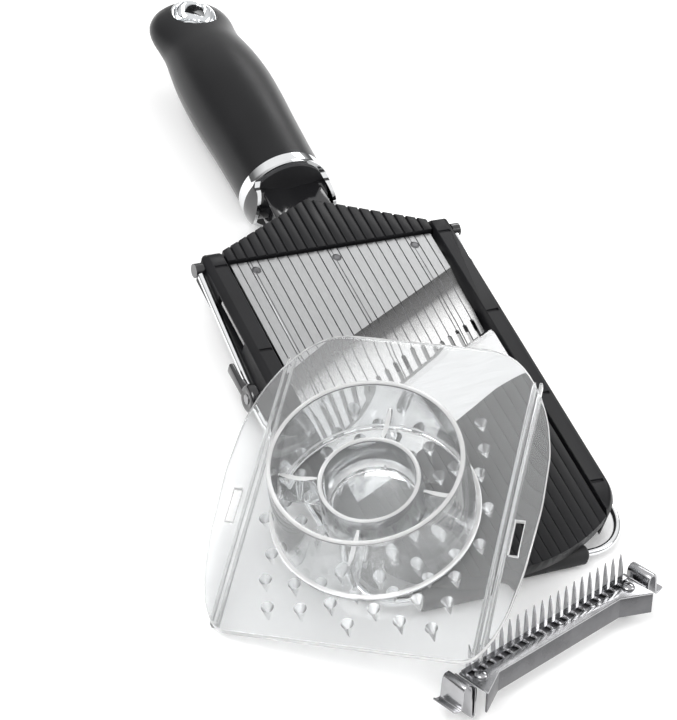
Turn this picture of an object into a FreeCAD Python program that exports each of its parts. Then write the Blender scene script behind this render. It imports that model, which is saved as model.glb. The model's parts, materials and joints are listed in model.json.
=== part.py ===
import FreeCAD, Part
import math
import os
import re
import Sketcher

# Mandoline slicer with a folding wire stand, a thickness lever, a clear hand guard and a loose julienne cutter.
# The slicer is modelled in its own frame: X across, Y from the nose (-Y) to the handle (+Y), Z up,
# with zero height on the rail tops and Y = 0 at the rearmost mark on the rails. It is then laid on its folded
# foot and the belly of its grip, the guard leans on its left rail and the julienne cutter lies before its nose.

doc = FreeCAD.newDocument("mandoline_slicer")
sheet = doc.addObject("Spreadsheet::Sheet", "Sizes")

SIZES = {
    # body: two rails with plates between them
    "body_width": 116.0,
    "body_depth": 14.0,
    "rail_width": 9.0,
    "rail_wall": 2.4,
    "rail_roof": 3.0,
    "side_gap": 1.2,
    "rear_reach": 9.0,
    "gable_reach": 31.0,
    "front_reach": 174.0,
    "nose_radius": 85.0,
    "nose_corner": 20.0,
    "nose_depth": 7.0,
    "mark_pitch": 47.5,
    "mark_width": 1.4,
    "mark_depth": 0.8,
    "rail_bevel": 2.5,
    "rail_rear_round": 3.0,
    "mark_length": 5.6,
    "line_pitch": 4.6,
    "line_count": 20.0,
    # yoke plate in front of the handle
    "yoke_drop": 0.6,
    "yoke_thick": 2.8,
    "yoke_front": 3.0,
    "yoke_groove": 0.9,
    "yoke_beam_depth": 7.6,
    # slicing station: every line across the body lies at the cut angle, at a distance down the centre line
    "cut_angle": 25.2,
    "crease_line": 40.5,
    "slot_line": 68.0,
    "tip_line": 75.6,
    "edge_line": 78.2,
    "bed_line": 90.0,
    "landing_line": 106.0,
    "bed_end_line": 112.0,
    "blade_thick": 1.0,
    "blade_drop": 1.2,
    "blade_bevel": 2.6,
    "bed_depth": 9.0,
    "screw_shank": 1.3,
    "screw_head": 2.6,
    "screw_head_thick": 1.4,
    "landing_drop": 1.0,
    "landing_thick": 2.4,
    "skirt_wall": 2.2,
    # ramp and its hinge
    "ramp_drop": 2.4,
    "ramp_sheet": 0.8,
    "ramp_fall": 2.8,
    "ramp_rear": 2.2,
    "ramp_side_gap": 1.0,
    "carrier_floor": 6.2,
    "carrier_line": 66.0,
    "comb_slot": 1.9,
    "groove_width": 0.5,
    "groove_depth": 0.3,
    "rivet_radius": 2.0,
    "rivet_place": 3.0,
    "rivet_spacing": 37.0,
    "hinge_place": 6.0,
    "hinge_height": 7.2,
    "hinge_pin": 1.2,
    "knuckle_radius": 2.8,
    "running_gap": 0.06,
    # thickness lever, its shaft and cams
    "cam_place": 64.0,
    "cam_height": 8.4,
    "cam_shaft_radius": 2.0,
    "cam_radius": 3.4,
    "cam_offset": 1.6,
    "cam_width": 6.0,
    "lever_hub_radius": 6.0,
    "lever_hub_width": 4.4,
    "lever_reach": 19.0,
    "cross_place": 40.0,
    "cross_width": 6.0,
    "cross_floor": 13.4,
    "window_start": 13.0,
    "window_end": 40.0,
    # folding wire stand
    "wire_radius": 1.5,
    "wire_side_gap": 0.35,
    "stand_place": 4.0,
    "stand_height": 4.8,
    "stand_fold_height": 12.3,
    "stand_reach": 166.5,
    "stand_knee": 56.0,
    "stand_corner": 18.0,
    "hub_radius": 3.0,
    "foot_radius": 4.2,
    "foot_half_length": 38.0,
    # handle
    "handle_height": 13.0,
    "handle_front": 45.5,
    "handle_end": 171.0,
    "collar_radius": 19.3,
    "belly_radius": 20.6,
    "waist_radius": 17.2,
    "bulb_radius": 18.2,
    "core_radius": 11.0,
    "bulb_half_thick": 8.5,
    "neck_half_width": 14.0,
    "neck_depth": 13.0,
    "ferrule_wall": 1.6,
    "ferrule_band": 7.0,
    "ferrule_cheek": 10.0,
    "cheek_half_height": 8.0,
    "hang_inset": 13.5,
    "hang_radius": 5.5,
    "liner_wall": 1.2,
    "liner_dish": 10.8,
    # clear hand guard, in its own frame: ring axis on Z, plate underside at zero
    "guard_half_width": 61.5,
    "guard_front": 59.5,
    "guard_back": 80.5,
    "guard_plate": 2.4,
    "guide_place": 49.0,
    "guide_depth": 3.6,
    "guide_wall": 1.2,
    "ring_base": 40.0,
    "ring_rim": 36.6,
    "ring_height": 33.0,
    "ring_wall": 1.8,
    "ring_flange": 2.0,
    "cup_radius": 19.3,
    "cup_height": 21.0,
    "web_thick": 1.8,
    "web_height": 18.0,
    "spike_radius": 2.4,
    "spike_length": 6.5,
    "spike_first_ring": 21.5,
    "spike_pitch": 6.8,
    "spike_reach": 50.0,
    # julienne cutter, in its own frame: bar along X, tines up
    "bar_half_length": 45.0,
    "bar_straight": 33.0,
    "bar_width": 9.0,
    "bar_flare": 6.0,
    "bar_height": 9.5,
    "bar_sheet": 0.9,
    "tine_count": 20.0,
    "tine_pitch": 4.35,
    "tine_length": 11.5,
    "tine_width": 2.4,
    "tine_thick": 0.7,
    "clip_width": 13.0,
    # how the pieces lie
    "guard_inset": 8.1,
    "guard_along": -144.8,
    "guard_lean": 20.7,
    "guard_pitch": 1.5,
    "guard_turn": 37.9,
    "cutter_across": -1.8,
    "cutter_along": -202.1,
    "cutter_turn": 17.0,
    "cutter_lean": 14.0,
}

for row, (alias, number) in enumerate(SIZES.items(), start=1):
    cell = "A%d" % row
    sheet.set(cell, str(number))
    sheet.setAlias(cell, alias)
doc.recompute()

ALIAS = re.compile(r"\b(" + "|".join(SIZES) + r")\b")
ALL = 400.0  # longer than the slicer, for tools that cut right through


def formula(text):
    """The text with each size's name turned into a reference to its cell."""
    return ALIAS.sub(r"Sizes.\1", str(text))


def number(text):
    """What a formula comes to, in millimetres or degrees."""
    found = sheet.evalExpression(formula(text))
    return float(getattr(found, "Value", found))


def bind(thing, **formulas):
    for name, text in formulas.items():
        thing.setExpression(name.replace("__", "."), formula(text))
    return thing


# ---------------------------------------------------------------- shapes bound to the sheet

def block(name, low, high):
    """A box between two corners, each a triple of formulas."""
    made = doc.addObject("Part::Box", name)
    for side, axis, a, b in zip(("Length", "Width", "Height"), "xyz", low, high):
        bind(made, **{side: "(%s) - (%s)" % (b, a), "Placement__Base__" + axis: a})
    return made


def rod(name, axis, start, radius, length):
    """A cylinder from its start point along X, Y or Z."""
    made = doc.addObject("Part::Cylinder", name)
    turn = {
        "x": FreeCAD.Rotation(FreeCAD.Vector(0, 1, 0), 90),
        "y": FreeCAD.Rotation(FreeCAD.Vector(1, 0, 0), -90),
        "z": FreeCAD.Rotation(),
    }[axis]
    made.Placement = FreeCAD.Placement(FreeCAD.Vector(), turn)
    bind(made, Radius=radius, Height=length)
    for letter, text in zip("xyz", start):
        bind(made, **{"Placement__Base__" + letter: text})
    return made


def frustum(name, centre, low_radius, high_radius, height):
    made = doc.addObject("Part::Cone", name)
    bind(made, Radius1=low_radius, Radius2=high_radius, Height=height)
    for letter, text in zip("xyz", centre):
        bind(made, **{"Placement__Base__" + letter: text})
    return made


def fuse(name, shapes):
    made = doc.addObject("Part::MultiFuse", name)
    made.Shapes = shapes
    made.Refine = True
    return made


def group(name, shapes):
    made = doc.addObject("Part::Compound", name)
    made.Links = shapes
    return made


def cut(name, base, tools):
    made = doc.addObject("Part::Cut", name)
    made.Base = base
    made.Tool = tools[0] if len(tools) == 1 else group(name + "_tools", tools)
    return made


def common(name, base, tool):
    made = doc.addObject("Part::Common", name)
    made.Base = base
    made.Tool = tool
    return made


def draw(sketch, corners):
    """Close a polygon through the corners and tie each corner to the sheet."""
    points = [FreeCAD.Vector(number(x), number(y), 0) for x, y in corners]
    count = len(points)
    for i in range(count):
        sketch.addGeometry(Part.LineSegment(points[i], points[(i + 1) % count]))
    for i in range(count):
        sketch.addConstraint(Sketcher.Constraint("Coincident", i, 2, (i + 1) % count, 1))
    for i, corner in enumerate(corners):
        for kind, text in zip(("DistanceX", "DistanceY"), corner):
            placed = sketch.addConstraint(Sketcher.Constraint(kind, -1, 1, i, 1, number(text)))
            sketch.setExpression("Constraints[%d]" % placed, formula(text))


def prism(name, corners, floor, height):
    """A polygon in plan, raised from a floor height."""
    sketch = doc.addObject("Sketcher::SketchObject", name + "_outline")
    draw(sketch, corners)
    bind(sketch, Placement__Base__z=floor)
    made = doc.addObject("Part::Extrusion", name)
    made.Base = sketch
    made.DirMode = "Normal"
    made.Solid = True
    bind(made, LengthFwd=height)
    return made


def slanted_prism(name, corners):
    """A side profile of (distance along the feed, height), run across the body at the cut angle.

    The first coordinate is measured square to the cutting edge, towards the handle."""
    sketch = doc.addObject("Sketcher::SketchObject", name + "_profile")
    draw(sketch, corners)
    upright = FreeCAD.Rotation(FreeCAD.Vector(1, 0, 0), 90)
    sketch.Placement = FreeCAD.Placement(FreeCAD.Vector(), FreeCAD.Rotation(FreeCAD.Vector(0, 0, 1), 90) * upright)
    straight = doc.addObject("Part::Extrusion", name + "_straight")
    straight.Base = sketch
    straight.DirMode = "Normal"
    straight.Solid = True
    straight.Symmetric = True
    straight.LengthFwd = ALL
    turned = doc.addObject("Part::Compound", name)
    turned.Links = [straight]
    turned.Placement = FreeCAD.Placement(FreeCAD.Vector(), FreeCAD.Rotation(FreeCAD.Vector(0, 0, 1), 1))
    bind(turned, Placement__Rotation__Angle="cut_angle")
    return turned


def across(line):
    """Distance square to the cutting edge of a line that is given down the centre line."""
    return "-(%s) * cos(cut_angle)" % line


def band(name, near_line, far_line, floor, top):
    """The whole stretch of the body between two slanted lines, between two heights."""
    near, far = across(near_line), across(far_line)
    return slanted_prism(name, [(near, floor), (near, top), (far, top), (far, floor)])


def body_sketch(body, role, corners, offset="0"):
    """A sketch on one of a body's own planes, moved along the plane's normal."""
    sketch = body.newObject("Sketcher::SketchObject", body.Name + "_sketch%d" % len(body.Group))
    plane = [feature for feature in body.Origin.OriginFeatures if feature.Role == role][0]
    sketch.AttachmentSupport = [(plane, "")]
    sketch.MapMode = "FlatFace"
    bind(sketch, AttachmentOffset__Base__z=offset)
    draw(sketch, corners)
    return sketch


def pad(body, sketch, length):
    made = body.newObject("PartDesign::Pad", body.Name + "_pad%d" % len(body.Group))
    made.Profile = sketch
    bind(made, Length=length)
    doc.recompute()
    return made


def turned_body(name, corners, height="0"):
    """A body of revolution about the Y direction, its corners given as (radius, y)."""
    body = doc.addObject("PartDesign::Body", name)
    sketch = body_sketch(body, "XY_Plane", corners, height)
    made = body.newObject("PartDesign::Revolution", name + "_turn")
    made.Profile = sketch
    made.ReferenceAxis = (sketch, ["V_Axis"])
    made.Angle = 360
    doc.recompute()
    return body


def upright_turned_body(name, corners, place_x="0", place_y="0"):
    """A body of revolution about a vertical axis, its corners given as (radius, z)."""
    body = doc.addObject("PartDesign::Body", name)
    sketch = body_sketch(body, "XZ_Plane", corners)
    made = body.newObject("PartDesign::Revolution", name + "_turn")
    made.Profile = sketch
    made.ReferenceAxis = (sketch, ["V_Axis"])
    made.Angle = 360
    doc.recompute()
    bind(body, Placement__Base__x=place_x, Placement__Base__y=place_y)
    return body


def coded(name, shape):
    """A shape made with Part's own functions from the sheet's sizes."""
    made = doc.addObject("Part::Feature", name)
    made.Shape = shape
    return made


def copy_of(name, source):
    """A second use of a solid that keeps its own placement."""
    made = doc.addObject("Part::Compound", name)
    made.Links = [source]
    return made


# ---------------------------------------------------------------- sub-parts and where they lie

slicer_parts = {}
guard_parts = {}
cutter_parts = {}


def keep(family, label, thing):
    thing.Label = label
    family[label] = thing
    return thing


RAIL_INNER = "(body_width / 2 - rail_width)"
PLATE_EDGE = "(body_width / 2 - rail_width - side_gap)"
RAMP_EDGE = "(body_width / 2 - rail_width - side_gap - ramp_side_gap)"
NOSE_CENTRE = "(nose_radius - front_reach)"
CORNER_CENTRE = ("(nose_radius - front_reach"
                 " - sqrt((nose_radius - nose_corner) ^ 2 - (body_width / 2 - nose_corner) ^ 2))")
LINES = ["(%d - (line_count - 1) / 2) * line_pitch" % i for i in range(int(SIZES["line_count"]))]


def nose_outline(name, inset="0"):
    """The curved front of the body as a standing cylinder, drawn in by an inset."""
    return rod(name, "z", ("0", NOSE_CENTRE, "-body_depth - 1"), "nose_radius - (%s)" % inset, "body_depth + 2")


def vertical_edge_at(shape, x, y, slack=0.6):
    """Names of the upright edges that stand at a place in plan."""
    names = []
    for index, edge in enumerate(shape.Edges, start=1):
        box = edge.BoundBox
        upright = box.ZLength > 1 and box.XLength < 1e-3 and box.YLength < 1e-3
        if upright and abs(box.Center.x - x) < slack and abs(box.Center.y - y) < slack:
            names.append(index)
    return names


def outer_top_edges(shape, side):
    """The top edges down a rail's outer side and round its nose."""
    names = []
    inner = number(RAIL_INNER)
    for index, edge in enumerate(shape.Edges, start=1):
        box = edge.BoundBox
        flat_top = abs(box.ZMin) < 1e-3 and abs(box.ZMax) < 1e-3
        outside = side * edge.CenterOfMass.x > inner + 0.1
        if flat_top and outside:
            names.append(index)
    return names


def rail(side, name):
    """One side rail: a channel open below, curved at the nose, with marks on top and bores through its walls."""
    low, high = ("body_width / 2 - rail_width", "body_width / 2")
    if side < 0:
        low, high = ("-body_width / 2", "-body_width / 2 + rail_width")
    bar = block(name + "_bar", (low, "-front_reach", "-body_depth"), (high, "rear_reach", "0"))
    corner = rod(name + "_corner", "z", ("%d * (body_width / 2 - nose_corner)" % side, CORNER_CENTRE,
                 "-body_depth - 1"), "nose_corner", "body_depth + 2")
    body = block(name + "_straight", (low, CORNER_CENTRE, "-body_depth - 1"), (high, "rear_reach + 1", "1"))
    shaped = common(name + "_shaped", bar, fuse(name + "_plan", [corner, body]))
    doc.recompute()
    rounded = doc.addObject("Part::Fillet", name + "_rounded")
    rounded.Base = shaped
    back = number("rail_rear_round")
    outer, rear = side * number("body_width / 2"), number("rear_reach")
    rounded.Edges = [(index, back, back) for index in vertical_edge_at(shaped.Shape, outer, rear)]
    doc.recompute()
    bevel = doc.addObject("Part::Chamfer", name + "_bevelled")
    bevel.Base = rounded
    size = number("rail_bevel")
    bevel.Edges = [(index, size * 0.7, size) for index in outer_top_edges(rounded.Shape, side)]
    hollow = block(
        name + "_hollow",
        (low + " + rail_wall", NOSE_CENTRE + " - nose_radius * 0.6", "-body_depth - 1"),
        (high + " - rail_wall", "stand_place - 9", "-rail_roof"),
    )
    tools = [hollow]
    inner = low if side > 0 else high + " - mark_length - 0.4"
    for index in range(4):
        place = "-%d * mark_pitch" % index
        start = inner + (" + 0.4" if side > 0 else "")
        tools.append(block(
            "%s_mark%d" % (name, index),
            (start, place + " - mark_width / 2", "-mark_depth"),
            (start + " + mark_length", place + " + mark_width / 2", "1"),
        ))
    tools.append(rod(name + "_stand_bore", "x", (low + " - 1", "stand_place", "-stand_height"),
                     "wire_radius + running_gap", "rail_width + 2"))
    tools.append(rod(name + "_hinge_bore", "x", (low + " - 1" if side > 0 else high + " - rail_wall",
                     "-hinge_place", "-hinge_height"), "hinge_pin", "rail_wall + 1"))
    if side < 0:
        tools.append(rod(name + "_cam_bore", "x", (low + " - 1", "-cam_place", "-cam_height"),
                         "cam_shaft_radius + running_gap", "rail_width + 2"))
        tools.append(block(name + "_window", (low + " - 1", "-window_end", "-rail_roof - 5.2"),
                           (low + " + rail_wall + 0.4", "-window_start", "-rail_roof")))
    return cut(name, bevel, tools)


def yoke_plate():
    """The ribbed gable plate in front of the handle, with the beam that ties the rails."""
    body = doc.addObject("PartDesign::Body", "yoke_plate")
    top = "-yoke_drop"
    gable = [
        ("-" + PLATE_EDGE, "yoke_front"), (PLATE_EDGE, "yoke_front"), (PLATE_EDGE, "rear_reach"),
        ("0", "gable_reach"), ("-" + PLATE_EDGE, "rear_reach"),
    ]
    plate = body_sketch(body, "XY_Plane", gable, top + " - yoke_thick")
    pad(body, plate, "yoke_thick")
    beam_corners = [
        ("-" + RAIL_INNER, "yoke_front + 0.6"), (RAIL_INNER, "yoke_front + 0.6"),
        (RAIL_INNER, "rear_reach"), ("-" + RAIL_INNER, "rear_reach"),
    ]
    beam = body_sketch(body, "XY_Plane", beam_corners, top + " - yoke_thick - yoke_beam_depth")
    pad(body, beam, "yoke_beam_depth")
    first = LINES[0]
    groove_corners = [
        (first + " - yoke_groove / 2", "yoke_front - 1"), (first + " + yoke_groove / 2", "yoke_front - 1"),
        (first + " + yoke_groove / 2", "gable_reach + 1"), (first + " - yoke_groove / 2", "gable_reach + 1"),
    ]
    groove = body_sketch(body, "XY_Plane", groove_corners, top)
    pocket = body.newObject("PartDesign::Pocket", "yoke_groove")
    pocket.Profile = groove
    bind(pocket, Length="yoke_groove")
    doc.recompute()
    if pocket.Shape.Volume >= pocket.BaseFeature.Shape.Volume:
        pocket.Reversed = True
        doc.recompute()
    pattern = body.newObject("PartDesign::LinearPattern", "yoke_grooves")
    pattern.Originals = [pocket]
    pattern.Direction = (groove, ["H_Axis"])
    pattern.Occurrences = int(SIZES["line_count"])
    bind(pattern, Length="(line_count - 1) * line_pitch")
    body.Tip = pattern
    doc.recompute()
    return body


def neck_tang():
    """The glossy tongue that joins the yoke to the handle."""
    body = doc.addObject("PartDesign::Body", "neck_tang")
    top = "-yoke_drop - yoke_thick"
    corners = [
        ("-neck_half_width", "rear_reach"), ("neck_half_width", "rear_reach"),
        ("neck_half_width", "handle_front"), ("-neck_half_width", "handle_front"),
    ]
    tongue = body_sketch(body, "XY_Plane", corners, top + " - neck_depth")
    solid = pad(body, tongue, "neck_depth")
    edges = []
    for index, edge in enumerate(solid.Shape.Edges, start=1):
        if edge.BoundBox.YLength > number("handle_front - rear_reach") - 0.1 and edge.CenterOfMass.z < number(top) - 1:
            edges.append("Edge%d" % index)
    round_off = body.newObject("PartDesign::Fillet", "neck_round")
    round_off.Base = (solid, edges)
    bind(round_off, Radius="neck_depth / 4")
    body.Tip = round_off
    doc.recompute()
    return body


def neck_lugs():
    """The two lugs at the sides of the neck, inside the ferrule's cheeks."""
    shapes = []
    for side in (-1, 1):
        reach = "collar_radius - ferrule_wall"
        round_bar = rod("lug_round%d" % side, "y", ("0", "handle_front - ferrule_cheek + 1", "-handle_height"),
                        reach, "ferrule_cheek - 1")
        low, high = ("neck_half_width", "body_width") if side > 0 else ("-body_width", "-neck_half_width")
        keeper = block("lug_keeper%d" % side, (low, "0", "-handle_height - cheek_half_height + 1.4"),
                       (high, "body_width", "-handle_height + cheek_half_height - 1.4"))
        shapes.append(common("lug%d" % side, round_bar, keeper))
    return group("neck_lugs", shapes)


def ferrule_ring():
    """The chromed ring between neck and grip, with a cheek reaching forward on each side."""
    radius = "collar_radius"
    inner = "collar_radius - ferrule_wall"
    front = "handle_front - ferrule_cheek"
    back = "handle_front + ferrule_band"
    tube = turned_body("ferrule_tube", [
        (inner, front), (radius + " - 0.6", front), (radius, front + " + 1"), (radius + " + 0.5", "handle_front + 1"),
        (radius + " + 0.2", back), (inner, back),
    ], "-handle_height")
    tools = []
    for side in (-1, 1):
        level = "-handle_height + %d * cheek_half_height" % side
        low, high = (level, level + " + 3 * collar_radius") if side > 0 else (level + " - 3 * collar_radius", level)
        tools.append(block("cheek_cut%d" % side, ("-body_width", front + " - 1", low),
                           ("body_width", "handle_front - 1", high)))
    return cut("ferrule_ring", tube, tools)


def handle_solid():
    """The whole grip as one turned form, flattened towards the hanging end."""
    names = ("collar_radius", "belly_radius", "belly_radius", "waist_radius", "bulb_radius")
    start = number("handle_front + ferrule_band")
    end = number("handle_end")
    span = end - start
    places = (0.0, 0.36, 0.52, 0.755, 0.86)
    points = [FreeCAD.Vector(number(name), start + share * span, 0) for name, share in zip(names, places)]
    cap_start = points[-1]
    tip = FreeCAD.Vector(0, end, 0)
    side = Part.BSplineCurve()
    side.interpolate(Points=points, InitialTangent=FreeCAD.Vector(0.05, 1, 0), FinalTangent=FreeCAD.Vector(0, 1, 0))
    drop = end - cap_start.y
    cap = Part.BSplineCurve()
    cap.interpolate(
        Points=[cap_start, FreeCAD.Vector(cap_start.x * 0.72, end - drop * 0.27, 0), tip],
        InitialTangent=FreeCAD.Vector(0, 1, 0), FinalTangent=FreeCAD.Vector(-1, 0, 0),
    )
    foot = FreeCAD.Vector(0, start, 0)
    outline = Part.Wire([
        Part.makeLine(foot, points[0]), side.toShape(), cap.toShape(), Part.makeLine(tip, foot),
    ])
    turned = Part.Face(outline).revolve(FreeCAD.Vector(), FreeCAD.Vector(0, 1, 0), 360)
    full = number("belly_radius") + 2
    flat = number("bulb_half_thick")
    waist_y = start + 0.5 * span
    side_view = Part.makePolygon([
        FreeCAD.Vector(0, start - 1, -full), FreeCAD.Vector(0, waist_y, -full), FreeCAD.Vector(0, end - 18, -flat),
        FreeCAD.Vector(0, end + 1, -flat + 1), FreeCAD.Vector(0, end + 1, flat - 1),
        FreeCAD.Vector(0, end - 18, flat), FreeCAD.Vector(0, waist_y, full),
        FreeCAD.Vector(0, start - 1, full), FreeCAD.Vector(0, start - 1, -full),
    ])
    limit = Part.Face(side_view).extrude(FreeCAD.Vector(4 * full, 0, 0))
    limit.translate(FreeCAD.Vector(-2 * full, 0, 0))
    shape = turned.common(limit)
    shape.translate(FreeCAD.Vector(0, 0, -number("handle_height")))
    return coded("handle_form", shape)


def hang_tool():
    """The space that the hang hole's liner takes out of the grip."""
    top = "-handle_height + bulb_half_thick"
    bottom = "-handle_height - bulb_half_thick"
    return upright_turned_body("hang_space", [
        ("0", bottom + " - 1"), ("hang_radius + liner_wall", bottom + " - 1"),
        ("hang_radius + liner_wall", top + " - 6"), ("liner_dish", top + " - 0.6"), ("liner_dish", top + " + 3"),
        ("0", top + " + 3"),
    ], "0", "handle_end - hang_inset")


def grips():
    """Upper and lower soft shells that close on the core."""
    form = handle_solid()
    core_space = rod("core_space", "y", ("0", "0", "-handle_height"), "core_radius",
                     "handle_end - hang_inset - liner_dish - 3")
    hang = hang_tool()
    whole = cut("grip_whole", form, [core_space, hang])
    upper = block("upper_half", ("-body_width", "0", "-handle_height"), ("body_width", "3 * handle_end", "body_width"))
    lower = block("lower_half", ("-body_width", "0", "-body_width"), ("body_width", "3 * handle_end", "-handle_height"))
    keep(slicer_parts, "grip_upper", common("grip_upper", whole, upper))
    keep(slicer_parts, "grip_lower", common("grip_lower", copy_of("grip_again", whole), lower))


def handle_core():
    """The stiff spine inside the grip, with the spigot that carries the ferrule."""
    spigot = "collar_radius - ferrule_wall"
    return turned_body("handle_core", [
        ("0", "handle_front"), (spigot, "handle_front"), (spigot, "handle_front + ferrule_band"),
        ("core_radius", "handle_front + ferrule_band"), ("core_radius", "handle_end - hang_inset - liner_dish - 3"),
        ("0", "handle_end - hang_inset - liner_dish - 3"),
    ], "-handle_height")


def hang_hole_liner():
    """The chromed eyelet in the end of the handle: a dished mouth on a short tube."""
    top = "-handle_height + bulb_half_thick"
    bottom = "-handle_height - bulb_half_thick"
    return upright_turned_body("hang_hole_liner", [
        ("hang_radius", bottom + " + 1"), ("hang_radius + liner_wall", bottom + " + 1"),
        ("hang_radius + liner_wall", top + " - 6"), ("liner_dish", top + " - 0.6"),
        ("liner_dish", top + " - 0.1"), ("liner_dish - 1.2", top + " - 0.1"), ("hang_radius", top + " - 5"),
    ], "0", "handle_end - hang_inset")


def landing_plate():
    """The grooved plate that carries the food off the blade: skirted, hollow below, with steps onto the rails."""
    top = "-landing_drop"
    slab = block("landing_slab", ("-" + PLATE_EDGE, "-front_reach", "-nose_depth"), (PLATE_EDGE, "0", top))
    behind = common("landing_behind", slab,
                    band("landing_reach", "landing_line", "3 * front_reach", "-nose_depth", top))
    outline = common("landing_outline", behind, nose_outline("landing_nose"))
    room = block("landing_room", ("-" + PLATE_EDGE + " + skirt_wall", "-front_reach", "-nose_depth - 1"),
                 (PLATE_EDGE + " - skirt_wall", "0", top + " - landing_thick"))
    room_nose = common("landing_room_nose", room, nose_outline("landing_inner_nose", "skirt_wall"))
    grooves = []
    for index, place in enumerate(LINES):
        grooves.append(block("landing_groove%d" % index,
                             (place + " - groove_width / 2", "-2 * front_reach", top + " - groove_depth"),
                             (place + " + groove_width / 2", "0", "1")))
    bed_seat = band("landing_seat", "landing_line - 1", "bed_end_line", "-2 * nose_depth", top + " - landing_thick")
    shell = cut("landing_shell", outline, [room_nose] + grooves + [bed_seat])
    step_floor = top + " - landing_thick - 2"
    steps = []
    for side in (-1, 1):
        low, high = (PLATE_EDGE + " - skirt_wall", RAIL_INNER)
        if side < 0:
            low, high = ("-" + RAIL_INNER, "-" + PLATE_EDGE + " + skirt_wall")
        run = block("landing_step%d" % side, (low, "-front_reach + nose_radius / 4", step_floor),
                    (high, "0", top + " - landing_thick"))
        steps.append(common("landing_run%d" % side, run,
                            band("landing_step_reach%d" % side, "bed_end_line + 0.5", "3 * front_reach", "-20", "0")))
    return fuse("landing_plate", [shell] + steps)


SCREW_PLACES = [-36, -12, 12, 36]


def screw_centre(share):
    """A screw's place: across the body, and along it on the middle of the blade's seat."""
    line = "(bed_line + landing_line) / 2"
    return ("%d" % share, "-(%s) + %d * tan(cut_angle)" % (line, share))


def blade_screws():
    """Four screws that hold the blade on its bed from below, head, shank and all."""
    screws = []
    for share in SCREW_PLACES:
        x, y = screw_centre(share)
        head = rod("screw_head%d" % share, "z", (x, y, "-bed_depth - screw_head_thick"), "screw_head",
                   "screw_head_thick")
        shank = rod("screw_shank%d" % share, "z", (x, y, "-bed_depth"), "screw_shank",
                    "bed_depth - blade_drop - blade_thick")
        screws.append(fuse("screw%d" % share, [head, shank]))
    return group("blade_screws", screws)


def blade_bed():
    """The slanted bar under the blade, from rail to rail."""
    low = "-bed_depth"
    seat = band("bed_seat", "bed_line", "landing_line", low, "-blade_drop - blade_thick")
    ledge = band("bed_ledge", "landing_line", "bed_end_line", low, "-landing_drop - landing_thick")
    both = fuse("bed_both", [seat, ledge])
    between = block("bed_between", ("-" + RAIL_INNER, "-2 * front_reach", "-body_depth"),
                    (RAIL_INNER, "2 * front_reach", "0"))
    holes = []
    for share in SCREW_PLACES:
        x, y = screw_centre(share)
        holes.append(rod("bed_hole%d" % share, "z", (x, y, "-bed_depth - 1"), "screw_shank", "bed_depth + 1"))
    return cut("blade_bed", common("bed_bar", both, between), holes)


def slicing_blade():
    """The straight blade, set across the body at the cut angle and ground to an edge on top."""
    top = "-blade_drop"
    edge = across("edge_line")
    back = across("landing_line")
    profile = slanted_prism("blade_profile", [
        (edge, top + " - blade_thick"), (edge, top + " - blade_thick + 0.15"),
        (edge + " - blade_bevel", top), (back, top), (back, top + " - blade_thick"),
    ])
    between = block("blade_between", ("-" + PLATE_EDGE, "-2 * front_reach", "-body_depth"),
                    (PLATE_EDGE, "2 * front_reach", "0"))
    return common("slicing_blade", profile, between)


def fall_at(line):
    """How far the ramp has dropped below its flat part at a slanted line."""
    return "ramp_fall * (%s - crease_line) / (slot_line - crease_line)" % line


def ramp_plate():
    """The steel ramp: flat to the crease, then falling to a comb whose fingers reach the cutting edge."""
    top = "-ramp_drop"
    crease = across("crease_line")
    tip = across("tip_line")
    low = "%s - %s" % (top, fall_at("tip_line"))
    sheet_form = slanted_prism("ramp_form", [
        ("2 * front_reach", top), (crease, top), (tip, low), (tip, low + " - ramp_sheet"),
        (crease, top + " - ramp_sheet"), ("2 * front_reach", top + " - ramp_sheet"),
    ])
    plan = block("ramp_plan", ("-" + RAMP_EDGE, "-2 * front_reach", "-20"), (RAMP_EDGE, "ramp_rear", "0"))
    flat = common("ramp_flat", sheet_form, plan)
    tools = []
    for index, place in enumerate(LINES):
        tools.append(block("ramp_groove%d" % index, (place + " - groove_width / 2", "-2 * front_reach",
                           top + " - groove_depth"), (place + " + groove_width / 2", "2 * front_reach", "1")))
        mouth = "-slot_line + (%s) * tan(cut_angle)" % place
        slot = block("comb_slot%d" % index, (place + " - comb_slot / 2", mouth + " - 20", "-20"),
                     (place + " + comb_slot / 2", mouth, "0"))
        end = rod("comb_end%d" % index, "z", (place, mouth, "-20"), "comb_slot / 2", "20")
        tools += [slot, end]
    for share in (-1, 0, 1):
        tools.append(rod("rivet_hole%d" % share, "z", ("%d * rivet_spacing" % share, "-rivet_place", "-20"),
                         "rivet_radius / 2", "20"))
    return cut("ramp_plate", flat, tools)


def ramp_carrier():
    """The moulded board under the ramp, with the hinge knuckles below its rear."""
    top = "-ramp_drop - ramp_sheet"
    crease = across("crease_line")
    end = across("carrier_line")
    form = slanted_prism("carrier_form", [
        ("2 * front_reach", top), (crease, top), (end, "%s - %s" % (top, fall_at("carrier_line"))),
        (end, "-carrier_floor"), ("2 * front_reach", "-carrier_floor"),
    ])
    plan = block("carrier_plan", ("-" + RAMP_EDGE + " + 0.8", "-2 * front_reach", "-20"),
                 (RAMP_EDGE + " - 0.8", "ramp_rear - 0.4", "0"))
    board = common("carrier_board", form, plan)
    knuckles = []
    for index, centre in enumerate((-36, 0, 36)):
        knuckles.append(rod("knuckle%d" % index, "x", ("%d" % (centre - 7), "-hinge_place", "-hinge_height"),
                            "knuckle_radius", "14"))
    joined = fuse("carrier_joined", [board] + knuckles)
    bore = rod("carrier_bore", "x", ("-body_width / 2", "-hinge_place", "-hinge_height"),
               "hinge_pin + running_gap", "body_width")
    return cut("ramp_carrier", joined, [bore])


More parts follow.
